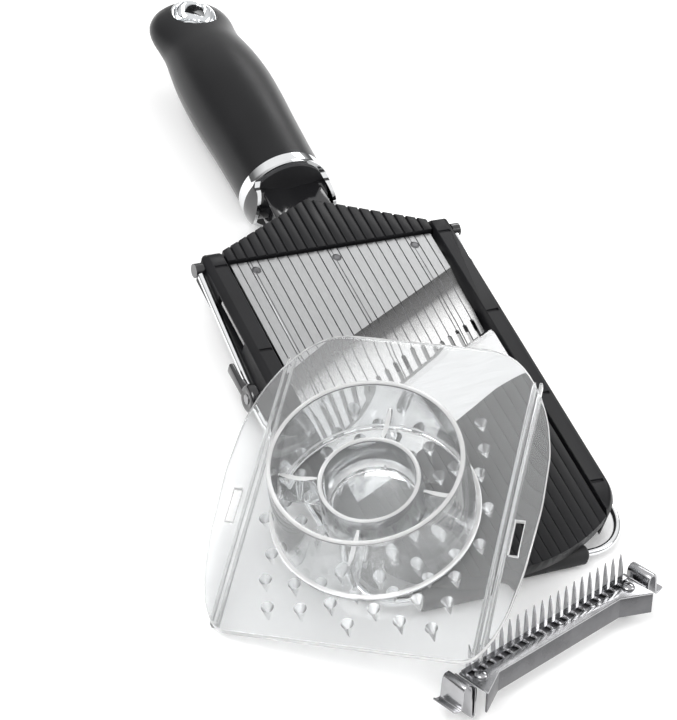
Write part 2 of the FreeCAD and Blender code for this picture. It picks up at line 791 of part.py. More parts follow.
def ramp_rivets():
    """Three rivets that hold the ramp on its carrier."""
    made = []
    for share in (-1, 0, 1):
        x = "%d * rivet_spacing" % share
        shank = rod("rivet_shank%d" % share, "z", (x, "-rivet_place", "-ramp_drop - ramp_sheet"),
                    "rivet_radius / 2", "ramp_sheet")
        head = frustum("rivet_head%d" % share, (x, "-rivet_place", "-ramp_drop"), "rivet_radius",
                       "rivet_radius * 0.6", "0.4")
        made.append(fuse("rivet%d" % share, [shank, head]))
    return group("ramp_rivets", made)


def ramp_hinge_pin():
    half = "(body_width / 2 - rail_width + rail_wall)"
    return rod("ramp_hinge_pin", "x", ("-" + half, "-hinge_place", "-hinge_height"), "hinge_pin", "2 * " + half)


LEVER_FACE = "(-body_width / 2 - wire_side_gap - 2 * wire_radius - wire_side_gap)"
SHAFT_END = "6"


def cam_shaft():
    """The thin shaft that crosses from the lever to the bearing arm under the ramp."""
    return rod("cam_shaft", "x", (LEVER_FACE + " - lever_hub_width", "-cam_place", "-cam_height"),
               "cam_shaft_radius", SHAFT_END + " - " + LEVER_FACE + " + lever_hub_width")


def thickness_cams():
    """Two round cams set off the shaft's centre, which lift the ramp as the lever turns."""
    cams = []
    for index, start in enumerate((-36, -14)):
        disc = rod("cam_disc%d" % index, "x", ("%d" % start, "-cam_place", "-cam_height - cam_offset"),
                   "cam_radius", "cam_width")
        bore = rod("cam_hole%d" % index, "x", ("%d - 1" % start, "-cam_place", "-cam_height"),
                   "cam_shaft_radius", "cam_width + 2")
        cams.append(cut("cam%d" % index, disc, [bore]))
    return group("thickness_cams", cams)


def thickness_lever():
    """The thumb lever outside the left rail: a round hub with a tab that lies towards the handle."""
    outer = LEVER_FACE + " - lever_hub_width"
    hub = rod("lever_hub", "x", (outer, "-cam_place", "-cam_height"), "lever_hub_radius", "lever_hub_width")
    tab = block("lever_tab", (outer, "-cam_place", "-cam_height - 3.4"),
                (LEVER_FACE + " - 1", "-cam_place + lever_reach", "-cam_height + 1.6"))
    bore = rod("lever_bore", "x", (outer + " - 1", "-cam_place", "-cam_height"), "cam_shaft_radius",
               "lever_hub_width + 2")
    return cut("thickness_lever", fuse("lever_form", [hub, tab]), [bore])


def cross_member():
    """The bar between the rails under the ramp, with the arm whose saddle holds the shaft's inner end."""
    top = "-carrier_floor - 0.9"
    bar = block("cross_bar", ("-" + RAIL_INNER, "-cross_place - cross_width", "-cross_floor"),
                (RAIL_INNER, "-cross_place", top))
    arm = block("cross_arm", ("0", "-cam_place - 4", "-cross_floor"), (SHAFT_END, "-cross_place", top + " + 0.5"))
    trimmed = cut("cross_arm_trimmed", arm, [block("cross_arm_cut", ("-1", "-cross_place - cross_width", top),
                                                   (SHAFT_END + " + 1", "1", "0"))])
    bore = rod("cross_bore", "x", ("-1", "-cam_place", "-cam_height"), "cam_shaft_radius + running_gap",
               SHAFT_END + " + 2")
    return cut("cross_member", fuse("cross_form", [bar, trimmed]), [bore])


def stand_path():
    """Corner points of the folded stand, from the left pivot round the nose to the right pivot."""
    side = number("body_width / 2 + wire_side_gap + wire_radius")
    pivot_y, pivot_z = number("stand_place"), -number("stand_height")
    fold_z = -number("stand_fold_height")
    inner = number("body_width / 2 - rail_width + 1")
    front = -number("stand_reach")
    knee_y = pivot_y - number("stand_knee")
    half = [
        FreeCAD.Vector(inner, pivot_y, pivot_z), FreeCAD.Vector(side, pivot_y, pivot_z),
        FreeCAD.Vector(side, knee_y, fold_z), FreeCAD.Vector(side, front, fold_z),
    ]
    other = [FreeCAD.Vector(-point.x, point.y, point.z) for point in half]
    return other + half[::-1]


def rounded_path(points, radii):
    """Straight runs joined by tangent arcs."""
    edges = []
    start = points[0]
    for index in range(1, len(points) - 1):
        before, corner, after = points[index - 1], points[index], points[index + 1]
        back = (before - corner).normalize()
        ahead = (after - corner).normalize()
        half_turn = math.acos(max(-1.0, min(1.0, back.dot(ahead)))) / 2
        reach = radii[index - 1] / math.tan(half_turn)
        first = corner + back * reach
        last = corner + ahead * reach
        middle_way = (back + ahead).normalize()
        centre = corner + middle_way * (radii[index - 1] / math.sin(half_turn))
        middle = centre - middle_way * radii[index - 1]
        edges.append(Part.makeLine(start, first))
        edges.append(Part.Arc(first, middle, last).toShape())
        start = last
    edges.append(Part.makeLine(start, points[-1]))
    return Part.Wire(edges)


def stand_wire():
    """The folded wire stand: one chromed wire bent into a wide U, its ends turned in as pivots."""
    points = stand_path()
    bend = number("wire_radius") * 1.2
    corner = number("stand_corner")
    radii = [bend, 3 * bend, corner, corner, 3 * bend, bend]
    path = rounded_path(points, radii)
    circle = Part.makeCircle(number("wire_radius"), points[0], FreeCAD.Vector(1, 0, 0))
    return coded("stand_wire_form", path.makePipeShell([Part.Wire([circle])], True, True))


def stand_hub(side, name, wire):
    """The moulded hub round the bent end of the wire, outside a rail."""
    start = "body_width / 2 + 0.2" if side > 0 else "-body_width / 2 - 0.2 - 2 * wire_radius - 2 * wire_side_gap"
    hub = rod(name + "_round", "x", (start, "stand_place", "-stand_height"), "hub_radius",
              "2 * wire_radius + 2 * wire_side_gap")
    return cut(name, hub, [copy_of(name + "_wire", wire)])


def foot_sleeve():
    """The rubber sleeve round the middle of the stand's cross wire, with chamfered ends."""
    chamfer = "foot_radius / 3"
    half = "foot_half_length"
    body = doc.addObject("PartDesign::Body", "foot_sleeve_form")
    sketch = body_sketch(body, "XY_Plane", [
        ("-" + half, "wire_radius"), (half, "wire_radius"), (half, "foot_radius - " + chamfer),
        (half + " - " + chamfer, "foot_radius"), ("-" + half + " + " + chamfer, "foot_radius"),
        ("-" + half, "foot_radius - " + chamfer),
    ])
    made = body.newObject("PartDesign::Revolution", "foot_sleeve_turn")
    made.Profile = sketch
    made.ReferenceAxis = (sketch, ["H_Axis"])
    made.Angle = 360
    doc.recompute()
    bind(body, Placement__Base__y="-stand_reach", Placement__Base__z="-stand_fold_height")
    return copy_of("foot_sleeve", body)


# ---------------------------------------------------------------- hand guard

def guard_outline():
    """Half the guard's plan, from the front corner to the back edge."""
    width = "guard_half_width"
    return [
        (width + " - 14", "-guard_front"), (width + " - 8", "-guard_front + 9"),
        (width + " - 4", "-guard_front + 22"), (width + " - 1.5", "-guard_front + 40"),
        (width, "-guard_front + 70"), (width + " - 1.2", "guard_back - 46"), (width + " - 4.8", "guard_back - 31"),
        (width + " - 10", "guard_back - 19"), (width + " - 17", "guard_back - 8.5"),
        (width + " - 24", "guard_back - 2.5"), (width + " - 32", "guard_back"),
    ]


def guard_plate():
    """The clear plate with two guide ribs down each side that straddle the slicer's grooves."""
    right = guard_outline()
    left = [("-(%s)" % x, y) for x, y in reversed(right)]
    plate = prism("guard_sheet", right + left, "0", "guard_plate")
    ribs = []
    for side in (-1, 1):
        for index, offset in enumerate(("-guide_wall * 1.6", "guide_wall * 0.6")):
            low = "%d * guide_place + %s" % (side, offset)
            ribs.append(block("guide%d_%d" % (side, index), (low, "-guard_front + 4", "-guide_depth"),
                              (low + " + guide_wall", "guard_back - 12", "0")))
    body = fuse("guard_form", [plate] + ribs)
    windows = []
    for side in (-1, 1):
        centre = "%d * (guide_place + 5.5)" % side
        windows.append(block("guard_window%d" % side, (centre + " - 1.6", "-12", "-1"),
                             (centre + " + 1.6", "3", "guard_plate + 1")))
    return cut("guard_plate", body, windows)


def guard_ring():
    """The finger ring: a tapered wall on a flange that stands on the plate."""
    top = "guard_plate + ring_height"
    return upright_turned_body("guard_ring", [
        ("ring_base - ring_wall - 1.2", "guard_plate"), ("ring_base", "guard_plate"),
        ("ring_base", "guard_plate + ring_flange"), ("ring_base - 1.4", "guard_plate + ring_flange"),
        ("ring_rim", top), ("ring_rim - ring_wall", top),
        ("ring_base - ring_wall - 1.2", "guard_plate + ring_flange"),
    ])


def guard_cup():
    """The round cup in the middle of the ring."""
    top = "guard_plate + cup_height"
    return upright_turned_body("guard_cup", [
        ("cup_radius - ring_wall - 1", "guard_plate"), ("cup_radius + 1", "guard_plate"),
        ("cup_radius", top), ("cup_radius - ring_wall", top),
    ])


def guard_webs():
    """Four radial webs between cup and ring."""
    inner_cup = frustum("web_cup", ("0", "0", "guard_plate"), "cup_radius + 1", "cup_radius",
                        "cup_height")
    slope = "(ring_base - 1.4 - ring_rim) / (ring_height - ring_flange) * (ring_height)"
    outer = frustum("web_reach", ("0", "0", "guard_plate"), "ring_base - ring_wall - 1.25",
                    "ring_base - ring_wall - 1.25 - %s * 1.05" % slope, "ring_height")
    webs = []
    for index, (x_half, y_half) in enumerate((("ring_base", "web_thick / 2"), ("web_thick / 2", "ring_base"))):
        cross = block("web_bar%d" % index, ("-" + x_half, "-" + y_half, "guard_plate"),
                      (x_half, y_half, "guard_plate + web_height"))
        webs.append(common("web%d" % index, cross, copy_of("web_limit%d" % index, outer)))
    return cut("guard_webs", fuse("web_cross", webs), [inner_cup])


def spike_places():
    """Spike centres on staggered rings round the cup, clear of the guide ribs."""
    side_reach = number("guide_place - 2 * guide_wall - spike_radius - 1")
    reach = number("spike_reach")
    places = []
    for index, count in enumerate((12, 12, 16, 16, 16, 16)):
        radius = number("spike_first_ring + %d * spike_pitch" % index)
        stagger = 0.5 if index % 2 else 0.0
        for step in range(count):
            angle = math.radians(360.0 * (step + stagger) / count)
            x, y = radius * math.cos(angle), radius * math.sin(angle)
            if abs(x) <= side_reach and abs(y) <= reach:
                places.append((x, y))
    return places


def guard_spikes():
    """The cone spikes under the plate that hold the food."""
    spikes = []
    for index, (x, y) in enumerate(spike_places()):
        spike = frustum("spike%d" % index, ("%.6f" % x, "%.6f" % y, "-spike_length"), "0.3", "spike_radius",
                        "spike_length")
        spikes.append(spike)
    return group("guard_spikes", spikes)


# ---------------------------------------------------------------- julienne cutter

def julienne_bar():
    """The folded steel bar: a top plate with a front flange, both flaring out at the ends."""
    end, straight = "bar_half_length", "bar_straight"
    front = [(end, "-bar_width - bar_flare"), (straight, "-bar_width"),
             ("-" + straight, "-bar_width"), ("-" + end, "-bar_width - bar_flare")]
    top = prism("bar_top", [("-" + end, "0"), (end, "0")] + front, "bar_height - bar_sheet", "bar_sheet")
    inside = [("-" + end, "-bar_width - bar_flare + bar_sheet * 1.1"), ("-" + straight, "-bar_width + bar_sheet"),
              (straight, "-bar_width + bar_sheet"), (end, "-bar_width - bar_flare + bar_sheet * 1.1")]
    flange = prism("bar_flange", front + inside, "0", "bar_height - bar_sheet")
    return fuse("julienne_bar", [top, flange])


def julienne_tines():
    """A strip folded up into a row of pointed tines along the rear edge of the bar."""
    strip = block("tine_strip", ("-bar_half_length + 1", "-tine_width - 0.6", "bar_height"),
                  ("bar_half_length - 1", "0", "bar_height + 0.6"))
    shapes = [strip]
    for index in range(int(SIZES["tine_count"])):
        centre = number("(%d - (tine_count - 1) / 2) * tine_pitch" % index)
        thick, width = number("tine_thick"), number("tine_width")
        low = number("bar_height + 0.5")
        top = low + number("tine_length")
        side = Part.makePolygon([
            FreeCAD.Vector(centre - thick / 2, -width, low), FreeCAD.Vector(centre - thick / 2, 0, low),
            FreeCAD.Vector(centre - thick / 2, 0, top), FreeCAD.Vector(centre - thick / 2, -width, top - 2.4 * width),
            FreeCAD.Vector(centre - thick / 2, -width, low),
        ])
        shapes.append(coded("tine%d" % index, Part.Face(side).extrude(FreeCAD.Vector(thick, 0, 0))))
    return fuse("julienne_tines", shapes)


def ribbon(points, thickness):
    """A bent strip's side outline: the points offset to both sides with mitred corners."""
    def offset(side):
        moved = []
        for index, point in enumerate(points):
            ways = []
            if index > 0:
                ways.append((point - points[index - 1]).normalize())
            if index < len(points) - 1:
                ways.append((points[index + 1] - point).normalize())
            normals = [FreeCAD.Vector(-way.z, 0, way.x) for way in ways]
            mean = sum(normals, FreeCAD.Vector()).normalize()
            moved.append(point + mean * (side * thickness / 2 / mean.dot(normals[0])))
        return moved
    loop = offset(1) + offset(-1)[::-1]
    return Part.Face(Part.makePolygon(loop + [loop[0]]))


def spring_clip(side, name):
    """The spring steel strip at an end of the bar: down, up over the side and out in a finger tab."""
    end = number("bar_half_length")
    high = number("bar_height") - number("bar_sheet") / 2
    sheet_thick = number("bar_sheet")
    start = end + sheet_thick / 2
    profile = [
        (start, high), (start, -3.5), (start + 0.8, -5.0), (start + 2.4, -5.0), (start + 3.2, -3.5),
        (start + 4.0, high + 1.0), (start + 5.0, high + 2.4), (start + 7.2, high + 2.4), (start + 8.2, high + 1.0),
        (start + 8.6, 2.5), (start + 9.6, 1.2), (start + 14.0, 2.2),
    ]
    points = [FreeCAD.Vector(x, 0, z) for x, z in profile]
    width = number("clip_width")
    face = ribbon(points, sheet_thick)
    face.translate(FreeCAD.Vector(0, -number("bar_width") / 2 - width / 2, 0))
    clip = face.extrude(FreeCAD.Vector(0, width, 0))
    if side < 0:
        clip = clip.mirror(FreeCAD.Vector(), FreeCAD.Vector(1, 0, 0))
    return coded(name, clip)


def julienne_rivets():
    """The two domed rivets that fasten the tine strip to the bar."""
    rivets = []
    for side in (-1, 1):
        rivets.append(frustum("bar_rivet%d" % side, ("%d * (bar_half_length - 5)" % side, "-bar_width * 0.72",
                              "bar_height"), "2.6", "1.5", "1.6"))
    return group("julienne_rivets", rivets)


# ---------------------------------------------------------------- build

left = rail(-1, "left_rail")
right = rail(1, "right_rail")
keep(slicer_parts, "left_rail", left)
keep(slicer_parts, "right_rail", right)
keep(slicer_parts, "yoke_plate", yoke_plate())
keep(slicer_parts, "neck_tang", neck_tang())
keep(slicer_parts, "neck_lugs", neck_lugs())
keep(slicer_parts, "ferrule_ring", ferrule_ring())
keep(slicer_parts, "handle_core", handle_core())
grips()
keep(slicer_parts, "hang_hole_liner", hang_hole_liner())
keep(slicer_parts, "landing_plate", landing_plate())
keep(slicer_parts, "blade_bed", blade_bed())
keep(slicer_parts, "slicing_blade", slicing_blade())
keep(slicer_parts, "blade_screws", blade_screws())
keep(slicer_parts, "cross_member", cross_member())
keep(slicer_parts, "ramp_hinge_pin", ramp_hinge_pin())
keep(slicer_parts, "ramp_plate", ramp_plate())
keep(slicer_parts, "ramp_carrier", ramp_carrier())
keep(slicer_parts, "ramp_rivets", ramp_rivets())
keep(slicer_parts, "cam_shaft", cam_shaft())
keep(slicer_parts, "thickness_cams", thickness_cams())
keep(slicer_parts, "thickness_lever", thickness_lever())
wire = stand_wire()
keep(slicer_parts, "stand_wire", copy_of("stand_wire", wire))
keep(slicer_parts, "left_stand_hub", stand_hub(-1, "left_stand_hub", wire))
keep(slicer_parts, "right_stand_hub", stand_hub(1, "right_stand_hub", wire))
keep(slicer_parts, "foot_sleeve", foot_sleeve())

keep(guard_parts, "guard_plate", guard_plate())
keep(guard_parts, "guard_ring", guard_ring())
keep(guard_parts, "guard_cup", guard_cup())
keep(guard_parts, "guard_webs", guard_webs())
keep(guard_parts, "guard_spikes", guard_spikes())

keep(cutter_parts, "julienne_bar", julienne_bar())
keep(cutter_parts, "julienne_tines", julienne_tines())
keep(cutter_parts, "left_clip", spring_clip(-1, "left_clip"))
keep(cutter_parts, "right_clip", spring_clip(1, "right_clip"))
keep(cutter_parts, "julienne_rivets", julienne_rivets())
doc.recompute()


# ---------------------------------------------------------------- how the pieces lie together

def lowest(shape, placement):
    moved = shape.copy()
    moved.Placement = placement.multiply(moved.Placement)
    return moved.optimalBoundingBox().ZMin


def lying_angle():
    """The tilt at which the foot sleeve and the grip's belly touch the same floor."""
    foot = slicer_parts["foot_sleeve"].Shape
    grip = slicer_parts["grip_lower"].Shape
    low, high = 0.0, 10.0
    for _ in range(30):
        middle = (low + high) / 2
        tilt = FreeCAD.Placement(FreeCAD.Vector(), FreeCAD.Rotation(FreeCAD.Vector(1, 0, 0), middle))
        if lowest(grip, tilt) < lowest(foot, tilt):
            low = middle
        else:
            high = middle
    return (low + high) / 2


def on_floor(family, turn, across_place, along_place):
    """The placement that sets a family down with its lowest point on the floor."""
    still = FreeCAD.Placement(FreeCAD.Vector(across_place, along_place, 0), turn)
    height = min(lowest(thing.Shape, still) for thing in family.values())
    return FreeCAD.Placement(FreeCAD.Vector(across_place, along_place, -height), turn)


UP = FreeCAD.Vector(0, 0, 1)
slicer_turn = FreeCAD.Rotation(FreeCAD.Vector(1, 0, 0), lying_angle())
slicer_place = on_floor(slicer_parts, slicer_turn, 0, 0)

guard_turn = (FreeCAD.Rotation(FreeCAD.Vector(0, 1, 0), -number("guard_lean"))
              * FreeCAD.Rotation(FreeCAD.Vector(1, 0, 0), number("guard_pitch"))
              * FreeCAD.Rotation(UP, -number("guard_turn")))
guard_place = on_floor(guard_parts, guard_turn, number("guard_inset - body_width / 2"), number("guard_along"))

cutter_turn = (FreeCAD.Rotation(UP, number("cutter_turn"))
               * FreeCAD.Rotation(FreeCAD.Vector(1, 0, 0), -number("cutter_lean")))
cutter_place = on_floor(cutter_parts, cutter_turn, number("cutter_across"), number("cutter_along"))


def whole_box():
    """The box round every piece as it lies."""
    box = FreeCAD.BoundBox()
    for family, placement in families():
        for thing in family.values():
            shape = thing.Shape.copy()
            shape.Placement = placement.multiply(shape.Placement)
            box.add(shape.optimalBoundingBox())
    return box


def families():
    return ((slicer_parts, slicer_place), (guard_parts, guard_place), (cutter_parts, cutter_place))


room = whole_box()
to_origin = FreeCAD.Placement(FreeCAD.Vector(-room.Center.x, -room.Center.y, -room.ZMin), FreeCAD.Rotation())
slicer_place = to_origin.multiply(slicer_place)
guard_place = to_origin.multiply(guard_place)
cutter_place = to_origin.multiply(cutter_place)


def check(things):
    """Stop on any failed object or faulty solid."""
    for thing in doc.Objects:
        if "Invalid" in thing.State or "Error" in thing.State:
            raise ValueError("%s is %s" % (thing.Name, thing.State))
    for label, thing in things.items():
        shape = thing.Shape
        if shape.isNull() or not shape.isValid() or not shape.Solids:
            raise ValueError("%s has no sound solid" % label)


def lay_out():
    """Move each sub-part to where it lies, on top of the place it was made at."""
    made = {}
    for family, placement in families():
        for label, thing in family.items():
            for name, _ in list(thing.ExpressionEngine):
                if name.startswith((".Placement", "Placement")):
                    thing.setExpression(name.lstrip("."), None)
            thing.Placement = placement.multiply(thing.Placement)
            made[label] = thing
    doc.recompute()
    return made


sub_parts = lay_out()
check(sub_parts)
os.makedirs("parts", exist_ok=True)
for label, thing in sub_parts.items():
    thing.Shape.exportStep(os.path.join("parts", label + ".step"))
    print("%-18s solids %3d  volume %10.1f" % (label, len(thing.Shape.Solids), thing.Shape.Volume))
print("slicer lies at", slicer_place)
print("guard lies at", guard_place)
print("cutter lies at", cutter_place)
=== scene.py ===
# %% [markdown]
# # A mandoline slicer, from frame to finish
# The slicer, its clear hand guard and its loose julienne cutter are already solids in a frame that never moves.
# This lesson dresses them: it softens moulded edges, models the pieces that need more shape, and builds every
# finish from shader nodes. The frame comes first, because every later piece takes its place from it.

# %% Load the frame
import json
import math
import bmesh
import bpy
from mathutils import Matrix, Vector


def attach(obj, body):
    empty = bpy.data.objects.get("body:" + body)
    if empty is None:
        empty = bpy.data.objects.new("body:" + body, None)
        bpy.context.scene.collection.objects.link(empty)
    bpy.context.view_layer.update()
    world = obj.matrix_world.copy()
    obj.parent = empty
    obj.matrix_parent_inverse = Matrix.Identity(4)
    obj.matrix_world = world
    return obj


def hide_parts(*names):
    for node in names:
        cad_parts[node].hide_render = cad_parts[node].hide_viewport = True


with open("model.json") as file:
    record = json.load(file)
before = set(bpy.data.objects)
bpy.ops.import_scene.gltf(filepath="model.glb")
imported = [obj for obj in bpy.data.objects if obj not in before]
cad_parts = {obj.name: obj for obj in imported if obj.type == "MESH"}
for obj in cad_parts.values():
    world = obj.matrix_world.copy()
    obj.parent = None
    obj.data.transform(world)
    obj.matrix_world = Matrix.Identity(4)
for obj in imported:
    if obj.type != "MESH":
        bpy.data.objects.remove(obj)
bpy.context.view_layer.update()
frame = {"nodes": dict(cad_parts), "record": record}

# %% [markdown]
# ## Three sets of axes
# The slicer lies on its folded foot and on the belly of its grip, so it leans a few degrees. The guard leans on a
# rail and the julienne cutter is turned on the table. Drawing in such a tilted world is hard, so each of the three
# gets its own axes, in millimetres, and one matrix that carries them into the world. The slicer's axes follow from
# the hang hole, which the record keeps as a mount. The other two keep the turn they lie at and are pushed until
# their own lowest corner meets that of the solid.

# %% Axes of the slicer, the guard and the cutter
MM = 0.001
HANG_HOLE = Vector((0, 157.5, -15))


def slicer_axes():
    """The matrix from the slicer's own millimetres to world metres."""
    mount = frame["record"]["mounts"][0]
    up = Vector(mount["axis"]).normalized()
    across = Vector((1, 0, 0))
    along = up.cross(across)
    turn = Matrix((across, along, up)).transposed()
    middle = Vector(mount["pos_m"]) - turn @ (HANG_HOLE * MM)
    return Matrix.Translation(middle) @ (turn * MM).to_4x4()


def box_through(node, back):
    """Lowest and highest corner of a solid whose points first go through a matrix."""
    spots = [back @ v.co for v in frame["nodes"][node].data.vertices]
    return [Vector([extreme(s[i] for s in spots) for i in range(3)]) for extreme in (min, max)]


def lying_axes(node, turns, low_corner):
    """Axes of a loose piece: its turns, outermost first, and its lowest corner in its own millimetres."""
    turn = Matrix.Identity(3)
    for degrees, axis in turns:
        turn = turn @ Matrix.Rotation(math.radians(degrees), 3, axis)
    lowest = box_through(node, turn.transposed())[0]
    middle = turn @ (lowest - Vector(low_corner) * MM)
    return Matrix.Translation(middle) @ (turn * MM).to_4x4()


def local_box(node, axes):
    """Lowest and highest corner of a solid in a family's own millimetres."""
    return box_through(node, axes.inverted())


GUARD_TURNS, GUARD_CORNER = [(-20.7, "Y"), (1.5, "X"), (-37.9, "Z")], (-61.5, -59.5, -3.6)
CUTTER_TURNS, CUTTER_CORNER = [(17.0, "Z"), (-14.0, "X")], (-45.0, -15.0, 0.0)
slicer = slicer_axes()
guard = lying_axes("guard_plate", GUARD_TURNS, GUARD_CORNER)
cutter = lying_axes("julienne_bar", CUTTER_TURNS, CUTTER_CORNER)
for name, axes in (("slicer", slicer), ("guard", guard), ("cutter", cutter)):
    print(name, "origin", [round(v, 5) for v in axes.translation])
for name, axes in (("guard_plate", guard), ("julienne_bar", cutter), ("left_rail", slicer)):
    print(name, "own box", [[round(v, 2) for v in corner] for corner in local_box(name, axes)])

# %% [markdown]
# ## The camera
# A long lens from the front left, high up, flattens the slicer and keeps its rails almost parallel. The camera is
# aimed with three directions, right, up and backwards, which are the columns of its matrix. They are written in
# the slicer's own axes, so the view stays the same however the slicer comes to lie.

# %% Camera
CAMERA_PLACE = Vector((-466.951, -651.166, 732.053))
CAMERA_RIGHT = Vector((0.891197, -0.399380, 0.215089))
CAMERA_UP = Vector((0.158720, 0.718738, 0.676922))
FOCAL_LENGTH, FILM_WIDTH = 130, 36


def placed(name, data):
    """A new object in the scene, made of a mesh, a lens or a light."""
    thing = bpy.data.objects.new(name, data)
    bpy.context.scene.collection.objects.link(thing)
    return thing


lens = bpy.data.cameras.new("long_lens")
lens.lens = FOCAL_LENGTH
lens.sensor_width = FILM_WIDTH
lens.clip_start, lens.clip_end = 0.05, 20
camera = placed("camera", lens)
slicer_turn = slicer.to_3x3() * (1 / MM)
aim = Matrix((CAMERA_RIGHT, CAMERA_UP, CAMERA_RIGHT.cross(CAMERA_UP))).transposed()
camera.matrix_world = Matrix.Translation(slicer @ CAMERA_PLACE) @ (slicer_turn @ aim).to_4x4()
bpy.context.scene.camera = camera
print("camera at", [round(v, 3) for v in camera.matrix_world.translation], "lens", lens.lens, "mm")

# %% [markdown]
# ## Nodes without fuss
# Every finish below is a small graph of shader nodes. Four helpers keep those graphs readable: they add a node with
# its plain values, join sockets by name, set the greys of a colour ramp and start a material.

# %% Helpers for node graphs
def add_node(tree, kind, values=None, **settings):
    """Add a node of a kind, set its properties, then its input values by socket name or number."""
    node = tree.nodes.new(kind)
    for key, value in settings.items():
        setattr(node, key, value)
    for key, value in (values or {}).items():
        node.inputs[key].default_value = value
    return node


def join(tree, *pairs):
    """Link pairs of (from socket, to socket)."""
    for source, target in pairs:
        tree.links.new(source, target)


def ramp_stops(node, stops):
    """Set a colour ramp's stops from (place, grey)."""
    ramp = node.color_ramp
    while len(ramp.elements) < len(stops):
        ramp.elements.new(0.5)
    for element, (place, grey) in zip(ramp.elements, stops):
        element.position = place
        element.color = (grey, grey, grey, 1)


def plain_material(name):
    """A new material with its Principled shader: (material, tree, shader)."""
    material = bpy.data.materials.new(name)
    material.use_nodes = True
    return material, material.node_tree, material.node_tree.nodes["Principled BSDF"]


# %% [markdown]
# ## Table, sky and lamps
# A pale table with a soft shadow and a white surrounding show a dark tool best. The table is one large square. Its
# material scatters light like paper, and a little extra light that only the eye, mirrors and glass see lifts it to
# white without shining on the tool.

# %% Table
TABLE_HALF, TABLE_LIFT = 6.0, 0.14


def mesh_from(name, bm):
    """A new mesh that takes over a bmesh."""
    mesh = bpy.data.meshes.new(name)
    bm.to_mesh(mesh)
    bm.free()
    return mesh


def for_rays(tree, *kinds):
    """A socket that is 1 for rays of the given kinds and 0 for all others."""
    rays = add_node(tree, "ShaderNodeLightPath")
    found = rays.outputs[kinds[0]]
    for kind in kinds[1:]:
        either = add_node(tree, "ShaderNodeMath", operation="MAXIMUM")
        join(tree, (found, either.inputs[0]), (rays.outputs[kind], either.inputs[1]))
        found = either.outputs[0]
    return found


square = bmesh.new()
bmesh.ops.create_grid(square, x_segments=1, y_segments=1, size=TABLE_HALF)
table = placed("table", mesh_from("table", square))

table_paper, tree, paper = plain_material("table_paper")
paper.inputs["Base Color"].default_value = (0.90, 0.90, 0.90, 1)
paper.inputs["Roughness"].default_value = 0.9
paper.inputs["Specular IOR Level"].default_value = 0.0
lift = add_node(tree, "ShaderNodeMath", {1: TABLE_LIFT}, operation="MULTIPLY")
extra = add_node(tree, "ShaderNodeEmission", {"Color": (1, 1, 1, 1)})
both = add_node(tree, "ShaderNodeAddShader")
join(tree, (for_rays(tree, "Is Camera Ray", "Is Glossy Ray", "Is Transmission Ray"), lift.inputs[0]),
     (lift.outputs[0], extra.inputs["Strength"]),
     (paper.outputs[0], both.inputs[0]), (extra.outputs[0], both.inputs[1]),
     (both.outputs[0], tree.nodes["Material Output"].inputs["Surface"]))
table.data.materials.append(table_paper)
print("table", table.dimensions[:2])

# %% [markdown]
# The sky gives even light from all round. Straight to the eye, and through the clear plastic, it is white. Chrome
# needs something dark to mirror, so for every other ray it darkens towards the horizon, as a studio's far walls do.

# %% Sky
sky = bpy.data.worlds.new("studio")
sky.use_nodes = True
bpy.context.scene.world = sky
tree = sky.node_tree
backdrop = tree.nodes["Background"]
place = add_node(tree, "ShaderNodeTexCoord")
parts = add_node(tree, "ShaderNodeSeparateXYZ")
shade = add_node(tree, "ShaderNodeValToRGB")
ramp_stops(shade, [(0.0, 0.10), (0.18, 0.16), (0.42, 0.62), (0.64, 0.96)])
pick = add_node(tree, "ShaderNodeMix", {"B": (1, 1, 1, 1)}, data_type="RGBA")
join(tree, (place.outputs["Generated"], parts.inputs[0]), (parts.outputs["Z"], shade.inputs["Fac"]),
     (for_rays(tree, "Is Camera Ray", "Is Transmission Ray"), pick.inputs["Factor"]),
     (shade.outputs["Color"], pick.inputs["A"]),
     (pick.outputs["Result"], backdrop.inputs["Color"]))
print("sky", sky.name)

# %% [markdown]
# Three soft boxes do the rest. The largest stands high on the left and in front, and draws the long light edge on
# the grip. One behind on the right gives the black plastic its rim, and a low one on the right wakes up the steel.

# %% Lamps
MIDDLE = Vector((0.0, 0.0, 0.03))


def soft_box(name, place, size, power):
    """A rectangular area lamp that looks at the middle of the tools."""
    light = bpy.data.lights.new(name, "AREA")
    light.shape = "RECTANGLE"
    light.size, light.size_y = size
    light.energy = power
    lamp = placed(name, light)
    way = Vector(place) - MIDDLE
    lamp.matrix_world = Matrix.Translation(place) @ way.to_track_quat("Z", "Y").to_matrix().to_4x4()


soft_box("front_left_box", (-0.75, -0.25, 1.05), (0.7, 0.7), 11)
soft_box("back_right_box", (0.85, 0.75, 0.70), (0.9, 0.35), 4)
soft_box("right_box", (0.95, -0.55, 0.75), (0.35, 0.7), 4)
bpy.context.scene.view_settings.view_transform = "Standard"

# %% [markdown]
# ## Effects that several finishes share
# Moulded plastic, rubber and steel all have a fine grain and uneven gloss. It could be painted on each piece, but
# noise needs no unwrapping and stays sharp close up. A node group holds such an effect once, with named inputs,
# and each finish places it with its own values. All effects end alike: a noise lets the colour and the gloss swing
# a little, and a height goes out for the bump. That common end comes first.

# %% Helpers for effect groups
FLOAT, COLOUR, VECTOR = "NodeSocketFloat", "NodeSocketColor", "NodeSocketVector"


